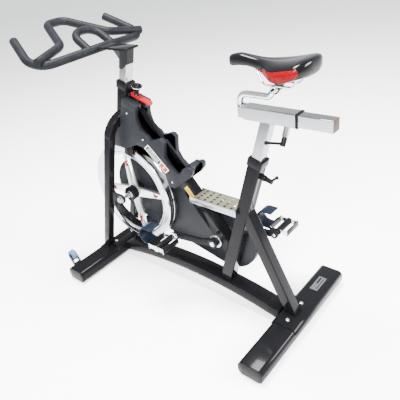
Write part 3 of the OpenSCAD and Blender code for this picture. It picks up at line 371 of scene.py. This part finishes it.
def tube_tree():
    tree = bpy.data.node_groups.new("tube along a path", "GeometryNodeTree")
    face = tree.interface
    face.new_socket("Geometry", in_out="INPUT", socket_type="NodeSocketGeometry")
    face.new_socket("Radius", in_out="INPUT", socket_type="NodeSocketFloat")
    face.new_socket("Sides", in_out="INPUT", socket_type="NodeSocketInt")
    face.new_socket("Finish", in_out="INPUT", socket_type="NodeSocketMaterial")
    face.new_socket("Geometry", in_out="OUTPUT", socket_type="NodeSocketGeometry")
    came = tree.nodes.new("NodeGroupInput")
    ring = tree.nodes.new("GeometryNodeCurvePrimitiveCircle")
    sweep = tree.nodes.new("GeometryNodeCurveToMesh")
    sweep.inputs["Fill Caps"].default_value = True
    real = tree.nodes.new("GeometryNodeRealizeInstances")
    dress = tree.nodes.new("GeometryNodeSetMaterial")
    went = tree.nodes.new("NodeGroupOutput")
    link = tree.links.new
    link(came.outputs["Radius"], ring.inputs["Radius"])
    link(came.outputs["Sides"], ring.inputs["Resolution"])
    link(came.outputs["Geometry"], sweep.inputs["Curve"])
    link(ring.outputs["Curve"], sweep.inputs["Profile Curve"])
    link(sweep.outputs["Mesh"], real.inputs[0])
    link(real.outputs[0], dress.inputs["Geometry"])
    link(came.outputs["Finish"], dress.inputs["Material"])
    link(dress.outputs[0], went.inputs[0])
    return tree


def run_tree(tree, source, values):
    """Evaluates a tree on an object and returns a plain mesh; the helper object is removed."""
    bpy.context.scene.collection.objects.link(source)
    modifier = source.modifiers.new("made", "NODES")
    modifier.node_group = tree
    for item in tree.interface.items_tree:
        if item.item_type == "SOCKET" and item.in_out == "INPUT" and item.name in values:
            modifier[item.identifier] = values[item.name]
    bpy.context.view_layer.update()
    shown = source.evaluated_get(bpy.context.evaluated_depsgraph_get())
    mesh = bpy.data.meshes.new_from_object(shown)
    bpy.data.objects.remove(source)
    bm = bmesh.new()
    bm.from_mesh(mesh)
    bmesh.ops.recalc_face_normals(bm, faces=bm.faces)
    bm.to_mesh(mesh)
    bm.free()
    return mesh


tube = tube_tree()


def swept(paths, radius, sides, finish):
    """One mesh of round tubes along one or more paths, in millimetres."""
    curve = bpy.data.curves.new("path", "CURVE")
    curve.dimensions = "3D"
    for path in paths:
        line = curve.splines.new("POLY")
        line.points.add(len(path) - 1)
        for point, place in zip(line.points, path):
            point.co = (*(place * MM), 1)
    return run_tree(tube, bpy.data.objects.new("path", curve),
                    {"Radius": radius * MM, "Sides": sides, "Finish": finish})


print("tube tree has", len(tube.nodes), "nodes")

# %% [markdown]
# The cross bar bends forward at both ends into the hand grips. The outer loop gives the stretched
# grip in front, and the small inner loop the upright one. Half of each path is given and mirrored.

# %% the handlebar
COAT_RADIUS, INNER_COAT_RADIUS = 17.2, 16.2
BAR_AHEAD, BAR_DROP = 44.5, 6
plate_low, plate_high = (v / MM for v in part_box("handlebar_mount"))
bar_x, bar_z = plate_high.x + BAR_AHEAD, plate_high.z - BAR_DROP


def far(p):
    return (p[0], -p[1], p[2])


corner, tip = (bar_x + 66, 290, bar_z - 21), (bar_x + 246, 232, bar_z + 64)
foot, waist = (bar_x + 60, 268, bar_z + 2), (bar_x + 100, 124, bar_z + 26)
nose = (bar_x + 290, 42, bar_z + 84)
inner_foot, inner_nose = (bar_x + 14, 60, bar_z - 2), (bar_x + 113, 56, bar_z + 56)
main_bar = bent_path([tip, corner, (bar_x, 0, bar_z), far(corner), far(tip)], [75, 120, 75])
outer_loop = bent_path([foot, waist, nose, far(nose), far(waist), far(foot)], [55, 40, 40, 55])
inner_loop = bent_path([inner_foot, inner_nose, far(inner_nose), far(inner_foot)], [50, 50])
coat = finish_by_slot["foam_coat"]
bar = keep("handlebar_coated_tubes", swept([main_bar, outer_loop], COAT_RADIUS, 40, coat),
           "handlebar_body", "foam_coat")
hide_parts("handlebar")
keep("handlebar_inner_loop", swept([inner_loop], INNER_COAT_RADIUS, 36, coat),
     "handlebar_body", "foam_coat")
print("bar tubes at", round(bar_x), round(bar_z))

# %% [markdown]
# Three plain shapes make the rest: a block, a plate cut to an outline and a turned piece. Real
# edges are never quite sharp, so the first two are made with rounded edges from the start.

# %% blocks, lathed shapes and plates in the side view
def block(low, high, width=0.8, segments=2):
    """A box with rounded edges, in millimetres."""
    bm = bmesh.new()
    bmesh.ops.create_cube(bm, size=1)
    low, high = Vector(low), Vector(high)
    for v in bm.verts:
        v.co = Vector((low[i] if v.co[i] < 0 else high[i]) for i in range(3)) * MM
    bmesh.ops.bevel(bm, geom=bm.edges[:], offset=width * MM, segments=segments, profile=0.5, affect="EDGES")
    return bm


def side_plate(outline, y0, y1, width=1.0, segments=3):
    """An outline in X and Z, given thickness between y0 and y1, with its rims rounded."""
    bm = bmesh.new()
    ring = [bm.verts.new((x * MM, y0 * MM, z * MM)) for x, z in outline]
    face = bm.faces.new(ring)
    lifted = bmesh.ops.extrude_face_region(bm, geom=[face])["geom"]
    for v in (g for g in lifted if isinstance(g, bmesh.types.BMVert)):
        v.co.y = y1 * MM
    bmesh.ops.recalc_face_normals(bm, faces=bm.faces)
    rims = [e for e in bm.edges if abs(e.verts[0].co.y - e.verts[1].co.y) < 1e-7]
    corners = [e for e in bm.edges if e not in rims and e.calc_face_angle(0) > math.radians(25)]
    bmesh.ops.bevel(bm, geom=corners, offset=width * 1.5 * MM, segments=segments, profile=0.5,
                    affect="EDGES", clamp_overlap=True)
    rims = [e for e in bm.edges if abs(e.verts[0].co.y - e.verts[1].co.y) < 1e-7
            and e.calc_face_angle(0) > math.radians(60)]
    bmesh.ops.bevel(bm, geom=rims, offset=width * MM, segments=segments, profile=0.5,
                    affect="EDGES", clamp_overlap=True)
    bmesh.ops.triangulate(bm, faces=[f for f in bm.faces if len(f.verts) > 4])
    return bm


def lathe(profile, centre, axis, steps=64):
    """Turns a profile of (distance along the axis, radius) in millimetres."""
    axis = Vector(axis).normalized()
    side = axis.orthogonal().normalized()
    bm = bmesh.new()
    edge = [bm.verts.new(Vector(centre) * MM + axis * a * MM + side * r * MM) for a, r in profile]
    lines = [bm.edges.new(pair) for pair in zip(edge, edge[1:])]
    bmesh.ops.spin(bm, geom=edge + lines, cent=Vector(centre) * MM, axis=axis, angle=math.tau,
                   steps=steps, use_duplicate=False)
    bmesh.ops.remove_doubles(bm, verts=bm.verts, dist=WELD)
    bmesh.ops.recalc_face_normals(bm, faces=bm.faces)
    return bm


print("shape helpers ready")

# %% [markdown]
# A flat plate joins the cross bar to the mount. It starts where the mount's own plate ends and runs
# into the middle of the bar.

# %% the handlebar's plate
PLATE_THICK = 8
plate = block((plate_high.x, plate_low.y, plate_high.z - PLATE_THICK), (bar_x, plate_high.y, plate_high.z))
keep("handlebar_plate", plate, "handlebar_body", "foam_coat")
print("handlebar plate", round(bar_x - plate_high.x, 1), "long")

# %% [markdown]
# Two lines carry most of the bike: the raked head tube and the down tube from the crank. Points are
# given along those lines, so labels and screws stay in place when the feet or the wheel move.

# %% lines of the frame
RAKE, DOWN = math.radians(16.8), math.radians(49.8)
HEAD_TOP = 935.95     # along the head tube's line, from the floor
HEAD_FOOT = 518.72    # from the middle between the feet to that line's foot
CRANK_HEIGHT = 311.0
foot_x = [(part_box(n)[0].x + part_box(n)[1].x) / 2 / MM for n in ("rear_foot", "front_foot")]
mid_x = sum(foot_x) / 2
head_foot = mid_x + HEAD_FOOT
crank = ((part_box("crank_axle")[0].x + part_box("crank_axle")[1].x) / 2 / MM, CRANK_HEIGHT)


def head_point(out, s):
    """A point at s up the head tube's line and out in front of it."""
    return (head_foot - s * math.sin(RAKE) + out * math.cos(RAKE),
            s * math.cos(RAKE) + out * math.sin(RAKE))


def down_point(t, up):
    """A point at t up the down tube's line from the crank and up above it."""
    return (crank[0] + t * math.cos(DOWN) - up * math.sin(DOWN),
            crank[1] + t * math.sin(DOWN) + up * math.cos(DOWN))


print("head tube foot", round(head_foot, 1), "crank", round(crank[0], 1))

# %% [markdown]
# A cap closes the shroud at its top. The brake rod passes through its middle, so it is two blocks
# with a gap between them, made upright and then leaned back with the head tube.

# %% the shroud's cap, in two halves round the brake rod
CAP_INNER, CAP_OUTER = 11.5, 46.8
CAP_REAR, CAP_FRONT = -100, -24
CAP_LOW, CAP_HIGH = HEAD_TOP - 84, HEAD_TOP - 55
lean = Matrix.Translation((head_foot * MM, 0, 0)) @ Matrix.Rotation(-RAKE, 4, "Y")
for side, name in ((1, "left"), (-1, "right")):
    right_y, left_y = sorted((side * CAP_INNER, side * CAP_OUTER))
    cap = block((CAP_REAR, right_y, CAP_LOW), (CAP_FRONT, left_y, CAP_HIGH), 2.5, 4)
    bmesh.ops.transform(cap, verts=cap.verts, matrix=lean)
    keep("shroud_cap_" + name, cap, "frame", "grey_plastic")
print("cap", CAP_HIGH - CAP_LOW, "deep")

# %% [markdown]
# Thin printed labels: a plate 0.4 mm thick lies on the surface, and stripes of other colours lie
# on it. They carry no lettering, only plain bars.

# %% labels
def label(name, corners, y, colour, lift=0.4):
    mesh = bpy.data.meshes.new(name)
    rows = [(x * MM, (y + d) * MM, z * MM) for d in (0, math.copysign(lift, y)) for x, z in corners]
    n = len(corners)
    mesh.from_pydata(rows, [], [tuple(range(n)), tuple(range(2 * n - 1, n - 1, -1))]
                     + [(i, i + n, (i + 1) % n + n, (i + 1) % n) for i in range(n)])
    bm = bmesh.new()
    bm.from_mesh(mesh)
    bmesh.ops.recalc_face_normals(bm, faces=bm.faces)
    return keep(name, bm, "frame", "grey_plastic", colour)


LABEL_START, LABEL_EDGE, LABEL_SLOPE, LABEL_DEEP = 331, -20, 16 / 133, 28.5


def along(t0, t1, a, b):
    """A band of the shroud label: a and b run from its lower edge, 0, to its upper edge, 1."""
    return [down_point(t, LABEL_EDGE - LABEL_SLOPE * (t - LABEL_START) + share * LABEL_DEEP)
            for t, share in ((t0, a), (t1, a), (t1, b), (t0, b))]


white = moulded("white print", (0.8, 0.8, 0.8), 0.45)
orange = moulded("orange print", (0.24, 0.014, 0.002), 0.45)
yellow = moulded("yellow print", (0.36, 0.24, 0.002), 0.45)
face_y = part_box("shroud_left")[1].y / MM
label("shroud_label_base", along(331, 463, 0, 1), face_y, white)
label("shroud_label_dark", along(376, 460, 0.09, 0.91), face_y + 0.4, black)
label("shroud_label_orange", along(334, 373, 0.09, 0.91), face_y + 0.4, orange)
for i in range(2):
    label("shroud_label_bar_%d" % i, along(384, 452, 0.32 + 0.30 * i, 0.37 + 0.30 * i),
          face_y + 0.8, white, 0.3)
label("shroud_label_patch", along(349, 357, 0.4, 0.6), face_y + 0.8, white, 0.3)
TUBE_FACE = 25.1
label("tube_label", [down_point(*q) for q in ((186, -2), (240, -2), (240, 20), (186, 20))], TUBE_FACE, yellow)
label("tube_label_bar", [down_point(*q) for q in ((194, 6), (232, 6), (232, 9), (194, 9))],
      TUBE_FACE + 0.4, black, 0.3)
print("labels on the shroud at", round(face_y, 1), "and the down tube at", TUBE_FACE)

# %% [markdown]
# The rear foot's label lies flat on its top, so three thin blocks are enough.

# %% the rear foot's label
foot_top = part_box("rear_foot")[1].z / MM
for name, finish, low, high in (
        ("foot_label", "silver_tube", (-16, -236, 0.0), (16, -150, 0.4)),
        ("foot_label_bar_0", "black_plastic", (-9, -228, 0.4), (-6, -160, 0.6)),
        ("foot_label_bar_1", "black_plastic", (2, -228, 0.4), (8, -190, 0.6))):
    corners = [(foot_x[0] + x, y, foot_top + z) for x, y, z in (low, high)]
    keep(name, block(*corners, 0.1, 1), "frame", finish)
print("foot label at", round(foot_top, 1))

# %% [markdown]
# The belt guard is a long tray with round ends, closed by an inner plate. Both follow one outline:
# a half circle round the crank, a half circle round the wheel's axle and straight sides.

# %% the belt guard
guard_rear = (crank[0] + 12, crank[1] - 37)
GUARD_RADIUS, GUARD_FACE = 140.9, -64.9


def long_round(radius, rear, front, steps=40):
    """Two half circles joined by straight sides."""
    lean = math.atan2(front[1] - rear[1], front[0] - rear[0])
    ends = []
    for centre, start in ((front, -math.pi / 2), (rear, math.pi / 2)):
        for turn in (lean + start + math.pi * i / steps for i in range(steps + 1)):
            ends.append((centre[0] + radius * math.cos(turn), centre[1] + radius * math.sin(turn)))
    return ends


guard_outline = long_round(GUARD_RADIUS, guard_rear, wheel)
guard = keep("belt_guard_tray", side_plate(guard_outline, GUARD_FACE, -34.2, 5, 4), "frame", "guard_plastic")
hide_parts("belt_guard_outer")
inner = keep("belt_guard_plate", side_plate(guard_outline, -33.9, -31.1, 1.2, 2), "frame", "guard_plastic")
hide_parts("belt_guard_inner")
print("guard outline has", len(guard_outline), "points")

# %% [markdown]
# The wheel's heavy rim is turned and plated. Its section has a shallow band round the tread and a
# raised lip on each side, which catch the light as thin rings, so it is lathed from that section.

# %% the wheel's rim
def rim_profile(r, inner, half):
    return [(-half + 5, inner), (-half + 1.2, inner + 4), (-half, inner + 8), (-half, inner + 14),
            (-half + 1.5, inner + 16), (-half + 1.5, r - 10), (-half, r - 8), (-half, r - 3), (-half + 3, r),
            (-6, r), (-5, r - 0.8), (5, r - 0.8), (6, r), (half - 3, r), (half, r - 3), (half, r - 8),
            (half - 1.5, r - 10), (half - 1.5, inner + 16), (half, inner + 14), (half, inner + 8),
            (half - 1.2, inner + 4), (half - 5, inner), (-half + 5, inner)]


RIM_RADIUS, RIM_INNER, RIM_HALF = 232, 188, 25
rim = keep("wheel_rim_plated", lathe(rim_profile(RIM_RADIUS, RIM_INNER, RIM_HALF),
                                     (wheel[0], 0, wheel[1]), (0, 1, 0), 200), "flywheel", "chrome")
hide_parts("wheel_rim")
print("rim", 2 * RIM_RADIUS, "across")

# %% [markdown]
# The saddle is a glossy moulded cover over foam: wide at the back, a narrow nose, a dip where the
# rider sits and a raised tail. Rings are lofted from tail to nose and smoothed by subdivision. The
# underside is hollow in the middle, so that the rails and the clamp show under it.

# %% the saddle
saddle_low, saddle_high = (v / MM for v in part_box("saddle"))
tail_x, nose_x = saddle_low.x, saddle_high.x
SADDLE_SEAM = 1036.5


def saddle_half(u):
    """Half the width at u, which runs from 0 at the tail to 1 at the nose."""
    return (82 * math.sin(math.radians(90 * min(1, u / 0.13 + 0.12))) ** 0.5
            * (0.23 + 0.77 / (1 + math.exp((u - 0.46) * 15))) * max(0, min(1, (1.02 - u) / 0.07)) ** 0.4)


def saddle_ring(u, steps=32):
    top = SADDLE_SEAM + 6 - 15 * math.sin(math.radians(180 * min(1, max(0, (u - 0.08) / 0.78)))) - 12 * u ** 9
    low = SADDLE_SEAM - 34 - 38 * math.sin(math.radians(180 * min(1, (u + 0.14) / 0.92))) ** 2 - 6 * u
    half, middle = saddle_half(u), (top + low) / 2
    ring = []
    for k in range(steps):
        a = math.tau * k / steps
        c, s = math.cos(a), math.sin(a)
        y = half * math.copysign(abs(c) ** 0.75, c)
        z = middle + (top - middle) * math.copysign(abs(s) ** 0.75, s)
        share = abs(y) / max(half, 1)
        if s > 0.2:
            z -= 3.0 * math.exp(-(y / 9) ** 2) * math.sin(math.pi * min(1, max(0, (u - 0.1) / 0.75)))
        if s < -0.05 and 0.04 < u < 0.97:
            z += (1 - share ** 2) * min(9, half * 0.2) * min(1, (0.97 - u) / 0.1) * min(1, (u - 0.04) / 0.1)
        ring.append(Vector((tail_x + u * (nose_x - tail_x), y, z)) * MM)
    return ring


def saddle_shell(count=30):
    bm = bmesh.new()
    rings = [[bm.verts.new(p) for p in saddle_ring(i / count)] for i in range(count + 1)]
    for a, b in zip(rings, rings[1:]):
        for k in range(len(a)):
            n = (k + 1) % len(a)
            bm.faces.new((a[k], b[k], b[n], a[n]))
    for ring in (rings[0], rings[-1]):
        middle = bm.verts.new(sum((v.co for v in ring), Vector()) / len(ring))
        for k in range(len(ring)):
            bm.faces.new((ring[k], ring[(k + 1) % len(ring)], middle))
    bmesh.ops.remove_doubles(bm, verts=bm.verts, dist=WELD)
    bmesh.ops.recalc_face_normals(bm, faces=bm.faces)
    return bm


cover = keep("saddle_cover", saddle_shell(), "saddle_body", "saddle_skin")
smooth = cover.modifiers.new("smooth", "SUBSURF")
smooth.levels = smooth.render_levels = 1
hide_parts("saddle")
print("saddle", round(nose_x - tail_x), "long")

# %% [markdown]
# A glossy red pad is let into each flank. It follows the cover's own rings, stands a little proud
# and thins to nothing at its edges, so it looks moulded in and not stuck on.

# %% the red pads on the saddle's flanks
RING_STEPS = 160


def side_pad(side, first, last, steps=26, rows=10):
    """A raised red pad on the saddle's flank, thinning to nothing at its edges."""
    bm = bmesh.new()
    grid = []
    for i in range(steps + 1):
        u = first + (last - first) * i / steps
        ring = saddle_ring(u, RING_STEPS)
        swell = math.sin(math.pi * i / steps)
        line = []
        for j in range(rows + 1):
            top, low = 34 - 30 * i / steps, -36 - 30 * i / steps
            middle, reach = (top + low) / 2, (top - low) / 2 * (0.25 + 0.75 * max(0.0, swell) ** 0.5)
            turn = middle + reach * (1 - 2 * j / rows)
            way_round = turn if side > 0 else 180 - turn
            k = round(way_round / 360 * RING_STEPS) % RING_STEPS
            here = ring[k]
            lift = 0.4 + 2.0 * max(0.0, swell * math.sin(math.pi * j / rows)) ** 0.4 if 0 < j < rows else 0.0
            way = Vector((0, side, -0.45)).normalized()
            line.append(bm.verts.new(here + way * lift * MM))
        grid.append(line)
    for a, b in zip(grid, grid[1:]):
        for j in range(rows):
            bm.faces.new((a[j], b[j], b[j + 1], a[j + 1]))
    bmesh.ops.solidify(bm, geom=bm.faces[:], thickness=1.2 * MM)
    bmesh.ops.recalc_face_normals(bm, faces=bm.faces)
    keep("saddle_pad_" + ("left" if side > 0 else "right"), bm, "saddle_body", "saddle_skin",
         finish_by_slot["red_plastic"])


for side in (1, -1):
    side_pad(side, 0.06, 0.60)
print("pads reach", round(0.60 * (nose_x - tail_x)), "from the tail")

# %% [markdown]
# The saddle rests on two bent wire rails, gripped by a clamp on the end of a bent stem. All three
# are round bar along a path, so the tube tree makes them too.

# %% the saddle's rails and the bent stem
RAIL_RADIUS, RAIL_OUT, STEM_RADIUS = 3.5, 22, 10.9
CLAMP_BEHIND, STEM_BEHIND = 431.8, 293.8     # behind the middle between the feet
CLAMP_HEIGHT, STEM_FOOT, STEM_LEVEL = 942.5, 873.6, 909.5
clamp = Vector((mid_x - CLAMP_BEHIND, 0, CLAMP_HEIGHT))
rail_z = CLAMP_HEIGHT + 11
rails = [bent_path([(tail_x + 34, side * 34, rail_z + 39), (tail_x + 62, side * RAIL_OUT, rail_z),
                    (clamp.x + 34, side * RAIL_OUT, rail_z), (tail_x + 196, side * 9, rail_z + 56)],
                   [24, 24], 8) for side in (-1, 1)]
rail_piece = keep("saddle_rails_plated", swept(rails, RAIL_RADIUS, 16, plated), "saddle_body", "chrome")
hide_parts("saddle_rails")
GRIP = [(-6, 4.2), (-6, 9.5), (-5, 10.8), (5, 10.8), (6, 9.5), (6, 4.2), (-6, 4.2)]
for side in (-1, 1):
    keep("rail_grip_" + ("left" if side > 0 else "right"),
         lathe(GRIP, (clamp.x, side * RAIL_OUT, clamp.z), (0, 1, 0), 32), "saddle_body", "steel")
stem_x = mid_x - STEM_BEHIND
knee = Vector((clamp.x + 30, 0, STEM_LEVEL))
stem_end = clamp - (clamp - knee).normalized() * 18
stem_path = bent_path([(stem_x, 0, STEM_FOOT), (stem_x, 0, STEM_LEVEL), knee, stem_end], [26, 14])
stem = keep("saddle_stem_plated", swept([stem_path], STEM_RADIUS, 32, plated), "slider_body", "chrome")
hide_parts("saddle_stem")
print("stem at", round(stem_x, 1), "clamp at", round(clamp.x, 1))

# %% [markdown]
# Screws repeat, so one Geometry Nodes tree places them: points carry the direction of each screw in
# a named attribute, and every point gets the same domed head with a round socket.

# %% a domed screw head, and a tree that places it
def screw_head(radius, height, socket=0.5):
    bm = lathe([(0, radius), (height * 0.35, radius), (height * 0.75, radius * 0.86), (height, radius * 0.55),
                (height, radius * socket), (height * 0.35, radius * socket * 0.92), (height * 0.35, 0.0)],
               (0, 0, 0), (0, 0, 1), 24)
    mesh = bpy.data.meshes.new("screw head")
    bm.to_mesh(mesh)
    bm.free()
    mesh.shade_smooth()
    return bpy.data.objects.new("screw head", mesh)


def placing_tree():
    tree = bpy.data.node_groups.new("pieces at points", "GeometryNodeTree")
    face = tree.interface
    face.new_socket("Geometry", in_out="INPUT", socket_type="NodeSocketGeometry")
    face.new_socket("Piece", in_out="INPUT", socket_type="NodeSocketObject")
    face.new_socket("Size", in_out="INPUT", socket_type="NodeSocketFloat")
    face.new_socket("Finish", in_out="INPUT", socket_type="NodeSocketMaterial")
    face.new_socket("Geometry", in_out="OUTPUT", socket_type="NodeSocketGeometry")
    came = tree.nodes.new("NodeGroupInput")
    piece = tree.nodes.new("GeometryNodeObjectInfo")
    facing = tree.nodes.new("GeometryNodeInputNamedAttribute")
    facing.data_type = "FLOAT_VECTOR"
    facing.inputs["Name"].default_value = "facing"
    align = tree.nodes.new("FunctionNodeAlignRotationToVector")
    align.axis = "Z"
    spread = tree.nodes.new("GeometryNodeInstanceOnPoints")
    real = tree.nodes.new("GeometryNodeRealizeInstances")
    dress = tree.nodes.new("GeometryNodeSetMaterial")
    went = tree.nodes.new("NodeGroupOutput")
    link = tree.links.new
    link(came.outputs["Piece"], piece.inputs["Object"])
    link(came.outputs["Geometry"], spread.inputs["Points"])
    link(piece.outputs["Geometry"], spread.inputs["Instance"])
    link(facing.outputs["Attribute"], align.inputs["Vector"])
    link(align.outputs["Rotation"], spread.inputs["Rotation"])
    link(came.outputs["Size"], spread.inputs["Scale"])
    link(spread.outputs["Instances"], real.inputs[0])
    link(real.outputs[0], dress.inputs["Geometry"])
    link(came.outputs["Finish"], dress.inputs["Material"])
    link(dress.outputs[0], went.inputs[0])
    return tree


placing = placing_tree()


def placed(name, places, piece, size, body, slot_name):
    """One mesh of copies of a piece, at (point, direction) pairs in millimetres."""
    mesh = bpy.data.meshes.new("points")
    mesh.from_pydata([Vector(p) * MM for p, _ in places], [], [])
    facing = mesh.attributes.new("facing", "FLOAT_VECTOR", "POINT")
    facing.data.foreach_set("vector", [c for _, d in places for c in d])
    made = run_tree(placing, bpy.data.objects.new("points", mesh),
                    {"Piece": piece, "Size": size, "Finish": finish_by_slot[slot_name]})
    return keep(name, made, body, slot_name)


print("placing tree has", len(placing.nodes), "nodes")

# %% [markdown]
# Small domed screws hold the shroud, the belt guard and the tread plate, and larger bolts hold the
# feet. Each place is a point and the way that its head faces.

# %% the cover screws and the foot bolts
SHROUD_FACE, GUARD_SCREW_RING, TREAD_FACE = 45.9, 132, 41
BOLT_OUT, BOLT_SEAT = 52.5, 65.9
cover_head = screw_head(4, 2.4)
shroud_places = (head_point(-56, HEAD_TOP - 106), down_point(492, -16), down_point(286, -18))
shroud_screws = [((x, side * SHROUD_FACE, z), (0, side, 0)) for side in (-1, 1) for x, z in shroud_places]
guard_screws = []
for turn in (math.radians(a) for a in (200, 262, 320)):
    guard_screws.append(((guard_rear[0] + GUARD_SCREW_RING * math.cos(turn), GUARD_FACE,
                          guard_rear[1] + GUARD_SCREW_RING * math.sin(turn)), (0, -1, 0)))
tread_low, tread_high = (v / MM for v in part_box("tread_plate"))
tread_screws = [((tread_low.x + 22 + step, side * TREAD_FACE, tread_high.z - 15), (0, side, 0))
                for side in (-1, 1) for step in (0, 18)]
screws = placed("cover_screw_heads", shroud_screws + guard_screws + tread_screws, cover_head, 1.0,
                "frame", "steel")
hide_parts("cover_screws")
bolt_places = [((x, side * BOLT_OUT, BOLT_SEAT), (0, 0, 1)) for x in foot_x for side in (-1, 1)]
bolts = placed("foot_bolt_heads", bolt_places, screw_head(8, 5), 1.0, "frame", "steel")
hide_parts("foot_bolts")
print(len(shroud_screws + guard_screws + tread_screws), "screws and", len(bolt_places), "bolts")

# %% [markdown]
# The brake knob is a turned cup on a steel rod, with a plated band round its widest part. All three
# share the head tube's lean, so each is lathed about that line.

# %% the brake knob, with its plated rim
KNOB = [(0, 0), (0, 10), (12, 9), (20, 12), (26, 19), (28.4, 20.6), (34, 20.6), (35.8, 18.5),
        (35.4, 15.5), (31, 12.5), (30, 9), (33, 5), (33.5, 0)]
KNOB_RIM = [(27.6, 19.4), (28, 20.9), (30, 20.95), (30.4, 19.6), (27.6, 19.4)]
ROD_LENGTH, ROD_BEHIND = 216, -62
ROD = [(0, 0), (0, 4.2), (1, 5), (ROD_LENGTH, 5), (ROD_LENGTH, 0)]
axis = Vector((-math.sin(RAKE), 0, math.cos(RAKE)))
knob_x, knob_z = head_point(ROD_BEHIND, HEAD_TOP - 30)
rod_x, rod_z = head_point(ROD_BEHIND, 690)
knob = keep("brake_knob_cap", lathe(KNOB, (knob_x, 0, knob_z), axis, 48), "brake_screw_body", "black_plastic")
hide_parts("brake_knob")
keep("brake_knob_rim", lathe(KNOB_RIM, (knob_x, 0, knob_z), axis, 48), "brake_screw_body", "chrome")
keep("brake_rod", lathe(ROD, (rod_x, 0, rod_z), axis, 24), "brake_screw_body", "steel")
print("knob at", round(knob_x, 1), round(knob_z, 1))

# %% [markdown]
# A pale floor and a pale sky give an even white setting. Three soft lamps shape the tubes: one from
# the rear left, near the camera, a weaker one from behind and one from above.

# %% the floor and the light
def floor():
    shop = Shop("pale floor")
    shade = shop.noise(1.3, 3)
    shop.set(Base_Color=shop.blend_colours(shade, (0.93, 0.93, 0.935), (0.96, 0.96, 0.96)), Roughness=0.75)
    mesh = bpy.data.meshes.new("floor")
    reach = 9
    corners = [(x * reach, y * reach, 0) for x, y in ((-1, -1), (1, -1), (1, 1), (-1, 1))]
    mesh.from_pydata(corners, [], [(0, 1, 2, 3)])
    mesh.materials.append(shop.material)
    obj = bpy.data.objects.new("floor", mesh)
    bpy.context.scene.collection.objects.link(obj)


floor()
world = bpy.data.worlds.new("studio")
bpy.context.scene.world = world
world.use_nodes = True
sky = world.node_tree.nodes["Background"]
sky.inputs["Color"].default_value = (0.95, 0.97, 1, 1)
sky.inputs["Strength"].default_value = 1.6


def lamp(name, place, aim_at, size, power):
    light = bpy.data.lights.new(name, "AREA")
    light.size, light.energy = size, power
    obj = bpy.data.objects.new(name, light)
    obj.location = place
    obj.rotation_euler = (Vector(aim_at) - Vector(place)).to_track_quat("-Z", "Y").to_euler()
    bpy.context.scene.collection.objects.link(obj)


lamp("key", (-1.6, 2.6, 3.0), (0, 0, 0.5), 1.1, 760)
lamp("fill", (-3.0, -1.2, 1.8), (0, 0, 0.5), 1.2, 380)
lamp("top", (0.3, 0.0, 3.6), (0, 0, 0.4), 1.3, 760)

print("three lamps")

# %% [markdown]
# The camera looks down on the bike from its rear left. Its three directions are given as vectors,
# and its place is measured from the middle between the feet.

# %% the camera
right = Vector((-0.75097, -0.64879, -0.12335)).normalized()
up = Vector((0.23059, -0.43262, 0.87159)).normalized()
forward = Vector((0.61881, -0.62607, -0.47446)).normalized()
camera = bpy.data.cameras.new("camera")
camera.sensor_width = 36
camera.lens = 42.0975
camera.shift_x, camera.shift_y = 0.0454, -0.045575
eye = bpy.data.objects.new("camera", camera)
bpy.context.scene.collection.objects.link(eye)
eye_place = Matrix.Translation((mid_x * MM - 1.14513, 1.17879, 1.39335))
eye.matrix_world = eye_place @ Matrix((right, up, -forward)).transposed().to_4x4()
bpy.context.scene.camera = eye
print("lens", round(camera.lens, 1))
